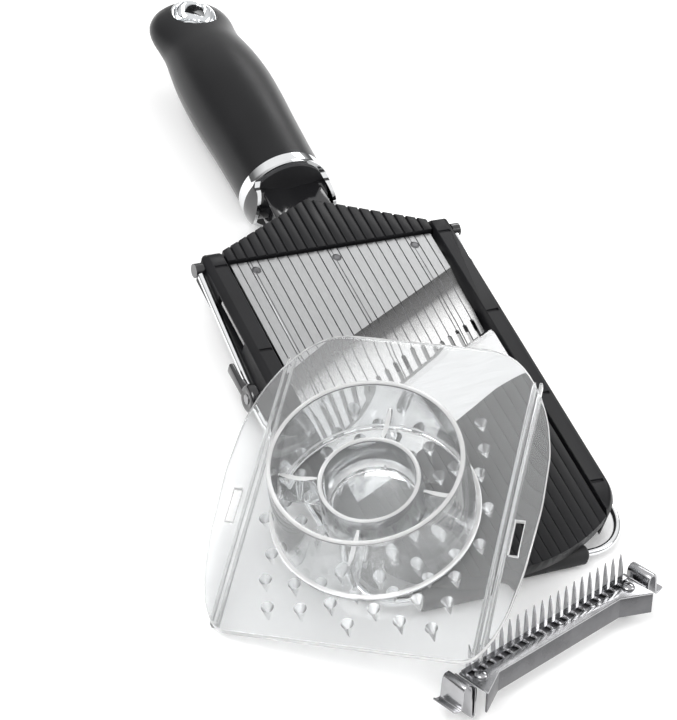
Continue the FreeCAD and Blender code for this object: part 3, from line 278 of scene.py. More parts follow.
def effect_group(name, own_inputs):
    """A shader node group with its own inputs and those that every effect has: (group, tree inputs)."""
    group = bpy.data.node_groups.new(name, "ShaderNodeTree")
    for label, kind, value in own_inputs + [("Tint", FLOAT, 0.1), ("Roughness", FLOAT, 0.3),
                                            ("Gloss Spread", FLOAT, 0.05)]:
        group.interface.new_socket(label, in_out="INPUT", socket_type=kind).default_value = value
    group.interface.new_socket("Colour", in_out="INPUT", socket_type=COLOUR)
    for label, kind in (("Colour", COLOUR), ("Roughness", FLOAT), ("Height", FLOAT)):
        group.interface.new_socket(label, in_out="OUTPUT", socket_type=kind)
    return group, group.nodes.new("NodeGroupInput")


def swing_and_end(group, source, pattern, height):
    """Let a noise swing colour and gloss round their inputs, and put them out with a height."""
    result = group.nodes.new("NodeGroupOutput")
    swing = add_node(group, "ShaderNodeMapRange", {"From Min": 0.3, "From Max": 0.7, "To Min": -1.0, "To Max": 1.0})
    tinted = add_node(group, "ShaderNodeMath", {2: 1.0}, operation="MULTIPLY_ADD")
    shaded = add_node(group, "ShaderNodeVectorMath", operation="SCALE")
    gloss = add_node(group, "ShaderNodeMath", operation="MULTIPLY_ADD")
    join(group, (pattern, swing.inputs["Value"]),
         (swing.outputs["Result"], tinted.inputs[0]), (source.outputs["Tint"], tinted.inputs[1]),
         (source.outputs["Colour"], shaded.inputs[0]), (tinted.outputs[0], shaded.inputs["Scale"]),
         (swing.outputs["Result"], gloss.inputs[0]), (source.outputs["Gloss Spread"], gloss.inputs[1]),
         (source.outputs["Roughness"], gloss.inputs[2]), (shaded.outputs[0], result.inputs["Colour"]),
         (gloss.outputs[0], result.inputs["Roughness"]), (height, result.inputs["Height"]))
    print("group", group.name, "inputs", [s.name for s in source.outputs if s.name])


# %% [markdown]
# The first effect is for everything that comes out of a mould, and for small steel parts too. Its height is a fine
# speckle, as a mould's eroded walls leave it. Its colour and gloss follow broad clouds of handling marks.

# %% Group: moulded grain
grain, source = effect_group("moulded_grain", [("Grain Size", FLOAT, 4000.0), ("Cloud Size", FLOAT, 60.0)])
spot = add_node(grain, "ShaderNodeTexCoord")
speckle = add_node(grain, "ShaderNodeTexNoise", {"Detail": 2.0})
clouds = add_node(grain, "ShaderNodeTexNoise", {"Detail": 5.0, "Roughness": 0.6})
join(grain, (spot.outputs["Object"], speckle.inputs["Vector"]), (spot.outputs["Object"], clouds.inputs["Vector"]),
     (source.outputs["Grain Size"], speckle.inputs["Scale"]),
     (source.outputs["Cloud Size"], clouds.inputs["Scale"]))
swing_and_end(grain, source, clouds.outputs["Fac"], speckle.outputs["Fac"])

# %% [markdown]
# Ground and brushed steel has long fine scratches in one direction. Noise that is squeezed across that direction
# draws them. The squeeze is an input, so the blade and the ramp can each have their own direction.

# %% Group: brushed steel
brush, source = effect_group("brushed_lines", [("Squeeze", VECTOR, (40.0, 6000.0, 40.0))])
spot = add_node(brush, "ShaderNodeTexCoord")
squeezed = add_node(brush, "ShaderNodeVectorMath", operation="MULTIPLY")
lines = add_node(brush, "ShaderNodeTexNoise", {"Scale": 1.0, "Detail": 3.0, "Roughness": 0.6})
join(brush, (spot.outputs["Object"], squeezed.inputs[0]), (source.outputs["Squeeze"], squeezed.inputs[1]),
     (squeezed.outputs[0], lines.inputs["Vector"]))
swing_and_end(brush, source, lines.outputs["Fac"], lines.outputs["Fac"])

# %% [markdown]
# ## The finishes
# A finish is a material that places one of the groups and feeds its colour, roughness and height into the
# Principled shader. Values that are the same all over, such as coat or metal, sit on the shader's own sockets.

# %% Helper: a finish from a group
def finish(name, group, pattern, colour, tint, gloss, bump=None, **plain):
    """A material whose grain comes from a group.

    pattern holds the values of the group's own inputs in their order, gloss is (roughness, how far it swings), and
    bump is (strength, distance in metres), or None where the surface is smooth.
    """
    material, tree, shader = plain_material(name)
    effect = add_node(tree, "ShaderNodeGroup", node_tree=group)
    for socket, value in zip(effect.inputs, [*pattern, tint, *gloss, (*colour, 1)]):
        socket.default_value = value
    join(tree, (effect.outputs["Colour"], shader.inputs["Base Color"]),
         (effect.outputs["Roughness"], shader.inputs["Roughness"]))
    if bump:
        relief = add_node(tree, "ShaderNodeBump", {"Strength": bump[0], "Distance": bump[1]})
        join(tree, (effect.outputs["Height"], relief.inputs["Height"]), (relief.outputs[0], shader.inputs["Normal"]))
    for key, value in plain.items():
        shader.inputs[key.replace("_", " ")].default_value = value
    print("finish", name)
    return material


# %% [markdown]
# Rails, yoke and landing are moulded with a fine matt grain, and black shows mainly what it reflects, so their
# colour is almost nothing and their gloss does the work. Neck and lever come from a polished mould and get a clear
# coat on top. The grip is soft to the touch: a low gloss with a little sheen, as velvety rubber has.

# %% Plastics and rubber
moulded_black = finish("moulded_black", grain, (3200, 45), (0.009, 0.009, 0.0102), 0.18, (0.40, 0.07),
                       (0.06, 0.00004), Specular_IOR_Level=0.2)
polished_black = finish("polished_black", grain, (900, 35), (0.009, 0.009, 0.010), 0.1, (0.13, 0.04),
                        (0.05, 0.00005), Coat_Weight=0.6, Coat_Roughness=0.04)
soft_touch = finish("soft_touch", grain, (2600, 28), (0.008, 0.008, 0.009), 0.14, (0.36, 0.05),
                    (0.16, 0.00008), Sheen_Weight=0.28, Sheen_Roughness=0.42, Specular_IOR_Level=0.18)
plain_core = finish("plain_core", grain, (2000, 40), (0.018, 0.018, 0.020), 0.15, (0.55, 0.05), (0.2, 0.0001))
black_rubber = finish("black_rubber", grain, (1500, 60), (0.014, 0.014, 0.015), 0.25, (0.68, 0.08), (0.4, 0.0001))

# %% [markdown]
# A metal has no colour under its reflections, so all of these have Metallic at 1 and differ in brightness, gloss
# and scratches. The chrome is nearly a mirror. The blade is bright, with grinding lines that run across the slicer,
# and the ramp is satin and darker, brushed lengthways. The cutter's spring steel, its tines and the darker steel are
# small parts, where clouds of uneven gloss tell more than scratches would. That darker steel is painted shade on the
# cutter's flange, on the strip under its windows and in the ramp's grooves, and the real duller finish of the rivet
# heads.

# %% Metals
mirror_chrome = finish("mirror_chrome", grain, (500, 120), (0.86, 0.87, 0.88), 0.03, (0.06, 0.02),
                       (0.02, 0.00005), Metallic=1.0)
ground_steel = finish("ground_steel", brush, ((60, 3500, 3500),), (0.88, 0.885, 0.89), 0.06, (0.17, 0.04),
                      (0.05, 0.00003), Metallic=1.0)
satin_steel = finish("satin_steel", brush, ((5000, 70, 5000),), (0.365, 0.368, 0.372), 0.10, (0.32, 0.025),
                     (0.03, 0.00002), Metallic=1.0)
spring_steel = finish("spring_steel", grain, (1200, 90), (0.40, 0.40, 0.41), 0.15, (0.20, 0.06),
                      (0.10, 0.00005), Metallic=1.0)
tine_steel = finish("tine_steel", grain, (1500, 150), (0.36, 0.36, 0.37), 0.2, (0.22, 0.06),
                    (0.08, 0.00004), Metallic=1.0)
# Darker steel: painted shade on the flange, the strip under the windows and the ramp's grooves; real duller rivet
# heads.
dull_steel_and_painted_shade = finish("dull_steel_and_painted_shade", grain, (1800, 80), (0.135, 0.135, 0.14), 0.25, (0.30, 0.08),
                    (0.15, 0.00005), Metallic=1.0)

# %% [markdown]
# Clear moulded plastic is glass with a lower index. Real guards are never spotless: where food has rubbed them they
# are a little cloudy, so the gloss drifts and a small share of the surface scatters white instead of letting light
# through. Light that has travelled inside the moulding leaves at its edges, which glow white. Tracing that path
# takes very many bounces, so a second finish paints that glow on the rims alone: part glass, part white, a painted
# glow.

# %% Clear plastic and the painted glow on its rims
CLEAR_INDEX = 1.49
clear_plastic = finish("clear_moulding", grain, (700, 35), (0.97, 0.98, 0.985), 0.01, (0.035, 0.03),
                       (0.01, 0.0001), Transmission_Weight=0.92, IOR=CLEAR_INDEX)
painted_rim_glow = finish("clear_rim", grain, (500, 60), (1.0, 1.0, 1.0), 0.02, (0.10, 0.04),
                    Transmission_Weight=0.58, IOR=CLEAR_INDEX)

# %% [markdown]
# Each solid of the frame names a material slot in the record. A table from slot to finish dresses all of them. The
# ramp's rivets share the ramp's slot, but their heads are duller than its sheet, so they get another finish.

# %% Dress the solids
FINISHES = {
    "black_plastic": moulded_black, "gloss_black_plastic": polished_black, "soft_grip": soft_touch,
    "core_plastic": plain_core, "bright_chrome": mirror_chrome, "blade_steel": ground_steel,
    "satin_steel": satin_steel, "spring_steel": spring_steel, "clear_plastic": clear_plastic,
    "foot_rubber": black_rubber,
}
for node in frame["nodes"].values():
    for material_slot in node.material_slots:
        slot_name = material_slot.material.name.split(".")[0]
        material_slot.material = FINISHES[slot_name]
frame["nodes"]["ramp_rivets"].material_slots[0].material = dull_steel_and_painted_shade
print("dressed", len(frame["nodes"]), "solids")

# %% [markdown]
# ## From bmesh to finished piece
# A bmesh is a mesh in hand: it starts from a few vertices or a ready shape, and operators spin, extrude and bevel
# it. Each piece below is drawn in millimetres in its own axes. Three helpers make the starting shapes: a block
# between two corners, a turned form from an outline, and a flat outline pushed into a prism.

# %% Helpers that start a bmesh
def block(low, high):
    """A closed block between two corners."""
    bm = bmesh.new()
    bmesh.ops.create_cube(bm, size=1.0)
    low, high = Vector(low), Vector(high)
    bmesh.ops.scale(bm, vec=high - low, verts=bm.verts)
    bmesh.ops.translate(bm, vec=(low + high) / 2, verts=bm.verts)
    return bm


def spun(outline, axis="Z", middle=(0, 0, 0), steps=96):
    """Turn a closed outline of (radius, place along the axis) right round the axis."""
    bm = bmesh.new()
    across, along = {"Z": ((1, 0, 0), (0, 0, 1)), "Y": ((1, 0, 0), (0, 1, 0)), "X": ((0, 1, 0), (1, 0, 0))}[axis]
    across, along, middle = Vector(across), Vector(along), Vector(middle)
    ring = [bm.verts.new(middle + across * radius + along * place) for radius, place in outline]
    edges = [bm.edges.new((ring[i - 1], ring[i])) for i in range(len(ring))]
    bmesh.ops.spin(bm, geom=ring + edges, cent=middle, axis=along, angle=math.tau, steps=steps, use_merge=True)
    bmesh.ops.remove_doubles(bm, verts=bm.verts, dist=0.0005)
    bmesh.ops.recalc_face_normals(bm, faces=bm.faces)
    return bm


def prism(corners, way):
    """A flat outline of 3-D corners, pushed along a vector into a closed block."""
    bm = bmesh.new()
    face = bm.faces.new([bm.verts.new(c) for c in corners])
    pushed = bmesh.ops.extrude_face_region(bm, geom=[face])
    bmesh.ops.translate(bm, vec=way, verts=[g for g in pushed["geom"] if isinstance(g, bmesh.types.BMVert)])
    bmesh.ops.recalc_face_normals(bm, faces=bm.faces)
    return bm


# %% [markdown]
# The next helpers change a bmesh. Real parts have no sharp edges, so nearly every piece has its edges rounded, and
# the edges are picked by the angle between their faces. Slicing adds points where a flat face has to bend later.

# %% Helpers that round, slice and join
def bevel(bm, edges, radius, segments, clamp=True):
    """Round a list of edges."""
    bmesh.ops.bevel(bm, geom=edges, offset=radius, offset_type="OFFSET", segments=segments, profile=0.5,
                    affect="EDGES", material=-1, clamp_overlap=clamp)


def round_edges(bm, radius, sharper_than, segments=3, chosen=lambda edge: True, clamp=True):
    """Round the chosen edges whose faces meet at more than an angle in degrees."""
    limit = math.radians(sharper_than)
    bevel(bm, [e for e in bm.edges if e.is_manifold and e.calc_face_angle(0) > limit and chosen(e)],
          radius, segments, clamp)


def slice_at(bm, place, way=(1, 0, 0), **options):
    """Cut all faces along the plane through a place, square to a way."""
    bmesh.ops.bisect_plane(bm, geom=bm.verts[:] + bm.edges[:] + bm.faces[:], plane_co=place, plane_no=way, **options)


def add_to(bm, other):
    """Copy another bmesh into this one, then free it."""
    carrier = mesh_from("carrier", other)
    bm.from_mesh(carrier)
    bpy.data.meshes.remove(carrier)


# %% [markdown]
# Two larger helpers follow. One carries a finished bmesh into the world, gives it one or more finishes, lets it ride
# on its body and says which solid it stands for. The other cuts with Booleans. A Boolean modifier on a passing
# object is steadier than cutting by hand where a round tool meets a curved wall.

# %% Helpers that finish and cut a piece
def piece(name, bm, axes, body, finishes, replaced, smooth_below):
    """Finish a bmesh drawn in a family's millimetres: mesh in world metres, finishes, body, solids replaced."""
    bm.transform(axes)
    mesh = mesh_from(name, bm)
    mesh.shade_smooth()
    mesh.set_sharp_from_angle(angle=math.radians(smooth_below))
    thing = placed(name, mesh)
    for material in finishes if isinstance(finishes, tuple) else (finishes,):
        mesh.materials.append(material)
    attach(thing, body)
    if replaced:
        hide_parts(*replaced)
    print(name, "faces", len(mesh.polygons), "rides on", body)


def carved(target, *tools, operation="DIFFERENCE"):
    """A new bmesh: the target after a Boolean with each tool, all drawn in the same axes and used up."""
    thing = placed("carved", mesh_from("carved", target))
    helpers = [placed("tool", mesh_from("tool", tool)) for tool in tools]
    for helper in helpers:
        cut = thing.modifiers.new("cut", "BOOLEAN")
        cut.operation, cut.solver, cut.object = operation, "EXACT", helper
    bpy.context.view_layer.update()
    result = bpy.data.meshes.new_from_object(thing.evaluated_get(bpy.context.evaluated_depsgraph_get()))
    carved_bm = bmesh.new()
    carved_bm.from_mesh(result)
    for old in helpers + [thing]:
        old_mesh = old.data
        bpy.data.objects.remove(old)
        bpy.data.meshes.remove(old_mesh)
    bpy.data.meshes.remove(result)
    return carved_bm


# %% [markdown]
# ## The grip
# The soft grip is thick where the palm closes on it, narrow at the waist and ends in a round bulb that droops a
# little. It is nearly a turned shape, so it starts as one: half its outline is spun round the long axis. Then every
# point is moved, which no lathe could do: the section is flattened and lowered towards the bulb. Turning first and
# bending after keeps the surface even all round.

# %% Outline and bend of the grip
grip_low = local_box("grip_lower", slicer)[0]
grip_high = local_box("grip_upper", slicer)[1]
GRIP_START, GRIP_END = grip_low.y, grip_high.y - 0.08  # a hair short, to stay inside the frame's box
GRIP_STATIONS = [  # share of the length, half width, half thickness, height of the middle
    (0.00, 19.2, 18.9, -12.7), (0.10, 19.3, 19.0, -12.6), (0.25, 19.8, 19.5, -12.6), (0.38, 20.6, 20.0, -12.8),
    (0.50, 20.9, 19.7, -13.0), (0.61, 20.4, 18.2, -13.4), (0.70, 19.3, 16.0, -13.7), (0.76, 18.5, 14.2, -13.9),
    (0.81, 18.9, 12.8, -14.0), (0.87, 19.6, 11.6, -14.1), (0.92, 18.8, 10.6, -14.2), (0.96, 16.0, 9.0, -14.2),
    (0.985, 11.2, 6.8, -14.2), (1.00, 0.0, 0.0, -14.2),
]


def between_stations(share, column):
    """A smooth value along the grip, by a cubic through the stations on both sides."""
    rows = GRIP_STATIONS
    index = max(i for i, row in enumerate(rows) if row[0] <= share + 1e-9)
    index = min(index, len(rows) - 2)
    before, after = rows[index], rows[index + 1]
    span = after[0] - before[0]

    def slope(i):
        low, high = rows[max(i - 1, 0)], rows[min(i + 1, len(rows) - 1)]
        return (high[column] - low[column]) / (high[0] - low[0])

    t = (share - before[0]) / span
    start, end = slope(index) * span, slope(index + 1) * span
    return ((2 * t**3 - 3 * t**2 + 1) * before[column] + (t**3 - 2 * t**2 + t) * start
            + (-2 * t**3 + 3 * t**2) * after[column] + (t**3 - t**2) * end)


def half_width(share):
    """Half the grip's width at a share of its length, never quite nothing."""
    return max(between_stations(share, 1), 0.3)


def grip_form():
    """The whole grip, spun and then bent. Its turns lie closer together at the round end."""
    length = GRIP_END - GRIP_START
    shares = [i / 40 * 0.96 for i in range(41)] + [0.97, 0.98, 0.988, 0.994, 0.998]
    outline = [(half_width(share), GRIP_START + share * length) for share in shares]
    bm = spun([(0.0, GRIP_START)] + outline + [(0.0, GRIP_END)], "Y")
    for v in bm.verts:
        share = min(max((v.co.y - GRIP_START) / length, 0.0), 1.0)
        v.co.z = v.co.z * between_stations(share, 2) / half_width(share) + between_stations(share, 3)
    return bm


print("grip from", round(GRIP_START, 1), "to", round(GRIP_END, 1), "mm")

# %% [markdown]
# Two shells meet on a seam along the sides. A real seam is a fine dark line, because both edges are slightly
# rounded. The grip is cut in two with bisect_plane, each half is closed, and the new rim is bevelled, which
# leaves that groove. The hole for the chromed eyelet is a Boolean with a spun tool, since its round mouth has to
# follow the eyelet and not the grid of the grip.

# %% The two shells of the grip
SEAM_HEIGHT, SEAM_RADIUS = -15.5, 0.45
eyelet_low, eyelet_high = local_box("hang_hole_liner", slicer)
EYELET_MIDDLE = Vector(((eyelet_low.x + eyelet_high.x) / 2, (eyelet_low.y + eyelet_high.y) / 2, 0))
EYELET_RIM = (eyelet_high.x - eyelet_low.x) / 2
EYELET_TOP = -5.6
SEAT_TUBE, SEAT_MOUTH = 7.4, EYELET_RIM - 0.4
BELOW_GRIP, ABOVE_GRIP = -45, 10


def grip_shell(upper):
    """One half of the grip with its rim rounded and the eyelet's seat cut out."""
    bm = grip_form()
    slice_at(bm, (0, 0, SEAM_HEIGHT), (0, 0, 1), clear_inner=upper, clear_outer=not upper)
    filled = bmesh.ops.holes_fill(bm, edges=[e for e in bm.edges if e.is_boundary])
    bevel(bm, list(dict.fromkeys(e for f in filled["faces"] for e in f.edges)), SEAM_RADIUS, 3)
    seat = spun([(0, BELOW_GRIP), (SEAT_TUBE, BELOW_GRIP), (SEAT_TUBE, EYELET_TOP - 6.5),
                 (SEAT_MOUTH, EYELET_TOP - 0.9), (SEAT_MOUTH, ABOVE_GRIP), (0, ABOVE_GRIP)], "Z", EYELET_MIDDLE, 64)
    return carved(bm, seat)


for name, upper in (("grip_upper", True), ("grip_lower", False)):
    piece(name + "_shell", grip_shell(upper), slicer, "slicer_frame", soft_touch, (name,), 35)

# %% [markdown]
# ## The chromed eyelet and ferrule
# Pressed and plated rings have a rolled lip that catches the light all round, and that lip is what the eye reads as
# chrome. Both rings are spun from an outline with a rounded lip. The eyelet is a deep dish that runs into a tube.

# %% Eyelet
bm = spun([
    (EYELET_RIM - 1.3, EYELET_TOP + 0.35), (EYELET_RIM - 0.7, EYELET_TOP + 0.55), (EYELET_RIM - 0.1, EYELET_TOP + 0.2),
    (EYELET_RIM, EYELET_TOP - 0.5), (EYELET_RIM - 0.5, EYELET_TOP - 1.2), (8.4, EYELET_TOP - 4.6),
    (7.2, EYELET_TOP - 6.4), (6.8, EYELET_TOP - 8), (6.8, eyelet_low.z + 0.4), (6.2, eyelet_low.z),
    (5.6, eyelet_low.z + 0.4), (5.5, EYELET_TOP - 8.6), (5.9, EYELET_TOP - 6.6), (7.4, EYELET_TOP - 3.8),
    (9.3, EYELET_TOP - 1.0),
], "Z", EYELET_MIDDLE, 72)
piece("hang_hole_eyelet", bm, slicer, "slicer_frame", mirror_chrome, ("hang_hole_liner",), 60)

# %% [markdown]
# The ferrule is a ring that reaches forward in a rounded ear on each side, with an open mouth between. A spun tube
# is cut to that side view: the Boolean keeps what it shares with a slab whose outline has the ear. The outsides of
# the ears take the second finish, polished black, as a painted reflection of the dark neck that they would mirror.

# %% Ferrule
ferrule_low, ferrule_high = local_box("ferrule_ring", slicer)
FERRULE_AXIS = Vector((0, 0, (ferrule_low.z + ferrule_high.z) / 2))
FERRULE_RADIUS = (ferrule_high.x - ferrule_low.x) / 2
FERRULE_BACK, FERRULE_FRONT = ferrule_high.y, ferrule_low.y
EAR_RADIUS = 9.0
SLAB_HALF, SLAB_BOTTOM, SLAB_TOP = 40, -60, 40


def ferrule_outline():
    """Cross-section of the ring, from the mouth's rolled lip to the grip."""
    r, front, back = FERRULE_RADIUS, FERRULE_FRONT, FERRULE_BACK
    return [
        (r - 1.9, front), (r - 0.5, front), (r - 0.4, front + 6), (r - 0.1, back - 9), (r, back - 6.4),
        (r, back - 5.6), (r - 0.3, back - 5.0), (r - 0.2, back - 4.2), (r - 0.3, back - 0.4), (r - 0.6, back),
        (r - 2.2, back), (r - 2.2, back - 5),
    ]


def ear_slab():
    """The side view that the ring is cut to: its band, and a round ear that reaches forward."""
    ear = Vector((0, FERRULE_FRONT + EAR_RADIUS, FERRULE_AXIS.z))
    band = FERRULE_BACK - 6.0
    behind, neck = FERRULE_BACK + 1, EAR_RADIUS + 1.5
    outline = [(behind, SLAB_TOP), (behind, SLAB_BOTTOM), (band, SLAB_BOTTOM), (band, FERRULE_AXIS.z - neck)]
    for i in range(19):
        turn = math.radians(-90 - i * 10)
        outline.append((ear.y + EAR_RADIUS * math.cos(turn), ear.z + EAR_RADIUS * math.sin(turn)))
    outline += [(band, FERRULE_AXIS.z + neck), (band, SLAB_TOP)]
    return prism([Vector((-SLAB_HALF, y, z)) for y, z in outline], (2 * SLAB_HALF, 0, 0))


bm = carved(spun(ferrule_outline(), "Y", FERRULE_AXIS, 96), ear_slab(), operation="INTERSECT")
bmesh.ops.remove_doubles(bm, verts=bm.verts, dist=0.01)
bm.normal_update()
# The outsides of the ears get polished black: a painted reflection of the dark neck.
for face in bm.faces:
    centre = face.calc_center_median() - FERRULE_AXIS
    on_ear = centre.y < FERRULE_BACK - 7.5 and abs(face.normal.y) < 0.3
    if on_ear and math.hypot(centre.x, centre.z) > FERRULE_RADIUS - 1.0:
        face.material_index = 1
piece("ferrule_shell", bm, slicer, "slicer_frame", (mirror_chrome, polished_black),
      ("ferrule_ring",), 35)

# %% [markdown]
# ## The neck
# The neck is a polished tongue that runs from the yoke into the ferrule. Its top is scooped out between two raised
# edges, and each ear of the ferrule holds a small round boss. The tongue is a block with a row of cuts across it,
# whose inner vertices are pressed down, then all edges are rounded so the polish shows.

# %% Neck and bosses
neck_low, neck_high = local_box("neck_tang", slicer)
NECK_HALF = (neck_high.x - neck_low.x) / 2
NECK_TOP, NECK_BOTTOM = -6.0, -16.5
SCOOP_DEPTH, SCOOP_HALF = 3.4, 9.5
BOSS = [(0, -2.2), (6.6, -2.2), (7.2, -1.6), (7.2, 1.4), (6.4, 2.2), (3.2, 2.4), (0, 2.4)]

neck = block((-NECK_HALF, neck_low.y, NECK_BOTTOM), (NECK_HALF, neck_high.y, NECK_TOP))
for place in (-SCOOP_HALF, -6.0, -2.0, 2.0, 6.0, SCOOP_HALF):
    slice_at(neck, (place, 0, 0))
for v in neck.verts:
    if v.co.z > NECK_TOP - 0.1 and abs(v.co.x) < SCOOP_HALF - 0.5:
        v.co.z -= SCOOP_DEPTH * (1 - (v.co.x / SCOOP_HALF) ** 2)
round_edges(neck, 0.9, 40)
for side in (-1, 1):
    boss_place = (side * (FERRULE_RADIUS - 5.4), FERRULE_FRONT + EAR_RADIUS, FERRULE_AXIS.z)
    add_to(neck, spun(BOSS, "X", boss_place, 48))
piece("polished_neck", neck, slicer, "slicer_frame", polished_black,
      ("neck_tang", "neck_lugs"), 35)

# %% [markdown]
# ## The julienne cutter
# Its bar is folded from one sheet: a top plate and a front flange that flares out at both ends. Each tine was
# punched out of the plate and bent up, which leaves a small window in front of it. Here the plate and the flange
# are flat outlines pushed to the sheet's thickness, and one Boolean with a row of small blocks opens the windows.

# %% Bar with its windows
bar_low, bar_high = local_box("julienne_bar", cutter)
BAR_END, BAR_TOP, SHEET = bar_high.x, bar_high.z, 0.9
BAR_STRAIGHT, BAR_FRONT, BAR_FLARE = 33.0, -9.0, bar_low.y
TINES, TINE_PITCH = 20, 4.35
TINE_PLACES = [(index - (TINES - 1) / 2) * TINE_PITCH for index in range(TINES)]
WINDOW_HALF, WINDOW_FRONT, WINDOW_BACK = 1.5, -4.7, -2.5

front_edge = [(BAR_END, BAR_FLARE), (BAR_STRAIGHT, BAR_FRONT), (-BAR_STRAIGHT, BAR_FRONT), (-BAR_END, BAR_FLARE)]
bar = prism([Vector((x, y, BAR_TOP - SHEET)) for x, y in [(-BAR_END, 0), (BAR_END, 0)] + front_edge], (0, 0, SHEET))
windows = bmesh.new()
for middle in TINE_PLACES:
    add_to(windows, block((middle - WINDOW_HALF, WINDOW_FRONT, BAR_TOP - 2),
                          (middle + WINDOW_HALF, WINDOW_BACK, BAR_TOP + 2)))
bar = carved(bar, windows)
round_edges(bar, 0.22, 40, 2)
piece("folded_bar", bar, cutter, "julienne_cutter", spring_steel, ("julienne_bar",), 30)

# %% [markdown]
# The flange hangs below the plate's front edge and follows its flare. Under the windows lies a dark strip of
# painted shade, which is why they do not show the table. Both take a darker steel than the plate as painted shade,
# because they face away from the light.

# %% Front flange and strip of painted shade
FLANGE_WALL = 0.95
flange_line = [(x, y + 0.05) for x, y in front_edge]
inner_line = [(-BAR_END, BAR_FLARE + FLANGE_WALL + 0.1), (-BAR_STRAIGHT - 0.2, BAR_FRONT + FLANGE_WALL),
              (BAR_STRAIGHT + 0.2, BAR_FRONT + FLANGE_WALL), (BAR_END, BAR_FLARE + FLANGE_WALL + 0.1)]
flange = prism([Vector((x, y, 0)) for x, y in flange_line + inner_line], (0, 0, BAR_TOP - SHEET * 0.6))
round_edges(flange, 0.2, 25, 2)
painted_shade_strip = block((-BAR_END + 1.5, -5.4, BAR_TOP - SHEET - 0.8), (BAR_END - 1.5, -0.4, BAR_TOP - SHEET - 0.15))
round_edges(painted_shade_strip, 0.1, 30, 1)
add_to(flange, painted_shade_strip)
piece("bar_flange", flange, cutter, "julienne_cutter", dull_steel_and_painted_shade, (), 30)

# %% [markdown]
# A tine is a thin flat spike with a slanted tip. One is drawn from its side view and pushed to its thickness. The
# other nineteen are made the same way, one pitch further each. A narrow folded strip joins all their feet.

# %% Tines
TINE_SIDE = [(-2.3, 0.4), (0.0, 0.4), (0.0, 8.6), (-0.35, 11.9), (-1.5, 8.2), (-2.1, 4.6)]  # (y, height)
TINE_HALF = 0.32
tines = block((-BAR_END + 1.2, -2.6, BAR_TOP + 0.02), (BAR_END - 1.2, -0.05, BAR_TOP + 0.65))
for middle in TINE_PLACES:
    tine = prism([Vector((middle - TINE_HALF, y, BAR_TOP + z)) for y, z in TINE_SIDE], (2 * TINE_HALF, 0, 0))
    round_edges(tine, 0.1, 30, 1)
    add_to(tines, tine)
piece("tine_row", tines, cutter, "julienne_cutter", tine_steel, ("julienne_tines",), 30)

# %% [markdown]
# The clips are spring strip, bent like a hairpin: down past the bar's end, round a tight U, up, over, and out in a
# small hook. They could be cut from a thick block, but a bent strip keeps one thickness all along. So a line of
# vertices follows the bend, extrude turns it into a ribbon, solidify gives it thickness and the rims are rounded.

# %% Spring clips
CLIP_LINE = [(0.45, 9.2), (0.45, -2.6), (0.9, -3.9), (1.75, -4.4), (2.6, -3.9), (3.05, -2.6), (3.5, 9.4),
             (3.9, 10.9), (4.7, 11.6), (5.9, 11.6), (6.6, 10.9), (6.9, 9.6), (7.4, 3.4), (7.9, 2.1), (8.9, 1.8),
             (11.2, 2.6), (12.0, 3.3)]  # (past the bar's end, height)
CLIP_SHEET = 0.8
clip_low, clip_high = local_box("right_clip", cutter)


def clip_strip(side):
    """A bent strip at one end of the bar."""
    bm = bmesh.new()
    start, width = clip_low.y + 1.0, clip_high.y - clip_low.y - 2.0
    line = [bm.verts.new((side * (BAR_END + x), start, max(z, clip_low.z + 0.5))) for x, z in CLIP_LINE]
    edges = [bm.edges.new(pair) for pair in zip(line, line[1:])]
    made = bmesh.ops.extrude_edge_only(bm, edges=edges)
    bmesh.ops.translate(bm, vec=(0, width, 0), verts=[g for g in made["geom"] if isinstance(g, bmesh.types.BMVert)])
    bmesh.ops.recalc_face_normals(bm, faces=bm.faces)
    bmesh.ops.solidify(bm, geom=bm.faces[:], thickness=CLIP_SHEET)
    bmesh.ops.recalc_face_normals(bm, faces=bm.faces)
    round_edges(bm, 0.18, 60, 2)
    return bm


for name, side in (("left", -1), ("right", 1)):
    piece(name + "_spring_clip", clip_strip(side), cutter, "julienne_cutter", spring_steel,
          (name + "_clip",), 50)

# %% [markdown]
# Two small dome-headed screws hold the strip. Each head is a spun dome with a cross cut into it.

# %% Screws
HEAD = [(0, -0.3), (2.6, -0.3), (2.6, 0.5), (2.3, 1.0), (1.5, 1.4), (0.7, 1.55), (0, 1.6)]
CROSS_LONG, CROSS_SHORT, CROSS_FLOOR = 1.4, 0.3, 0.7
rivet_low, rivet_high = local_box("julienne_rivets", cutter)
screws = bmesh.new()
for side in (-1, 1):
    middle = Vector((side * (rivet_high.x - HEAD[1][0]), (rivet_low.y + rivet_high.y) / 2, BAR_TOP))
    arms = [block(middle + Vector((-x, -y, CROSS_FLOOR)), middle + Vector((x, y, 3)))
            for x, y in ((CROSS_LONG, CROSS_SHORT), (CROSS_SHORT, CROSS_LONG))]
    add_to(screws, carved(spun(HEAD, "Z", middle, 40), *arms))
piece("dome_screws", screws, cutter, "julienne_cutter", spring_steel, ("julienne_rivets",), 35)

# %% [markdown]
# ## Moulded and pressed parts from their solids
# Rails, yoke and landing already have the right shape, but their edges are as sharp as a drawing. Nothing moulded
# is: every edge has a small radius, and that radius carries the pale glint that outlines black plastic. A copy of
# the solid is merged and its flat facets joined, so that bevel finds real edges only.

# %% Copies with rounded edges
def copied(node, joined=True):
    """A merged copy of a solid's mesh in the slicer's millimetres, with flat facets joined or left as they are."""
    bm = bmesh.new()
    bm.from_mesh(frame["nodes"][node].data)
    bm.transform(slicer.inverted())
    bmesh.ops.remove_doubles(bm, verts=bm.verts, dist=0.002)
    if joined:
        bmesh.ops.dissolve_limit(bm, angle_limit=math.radians(0.6), verts=bm.verts, edges=bm.edges)
    return bm


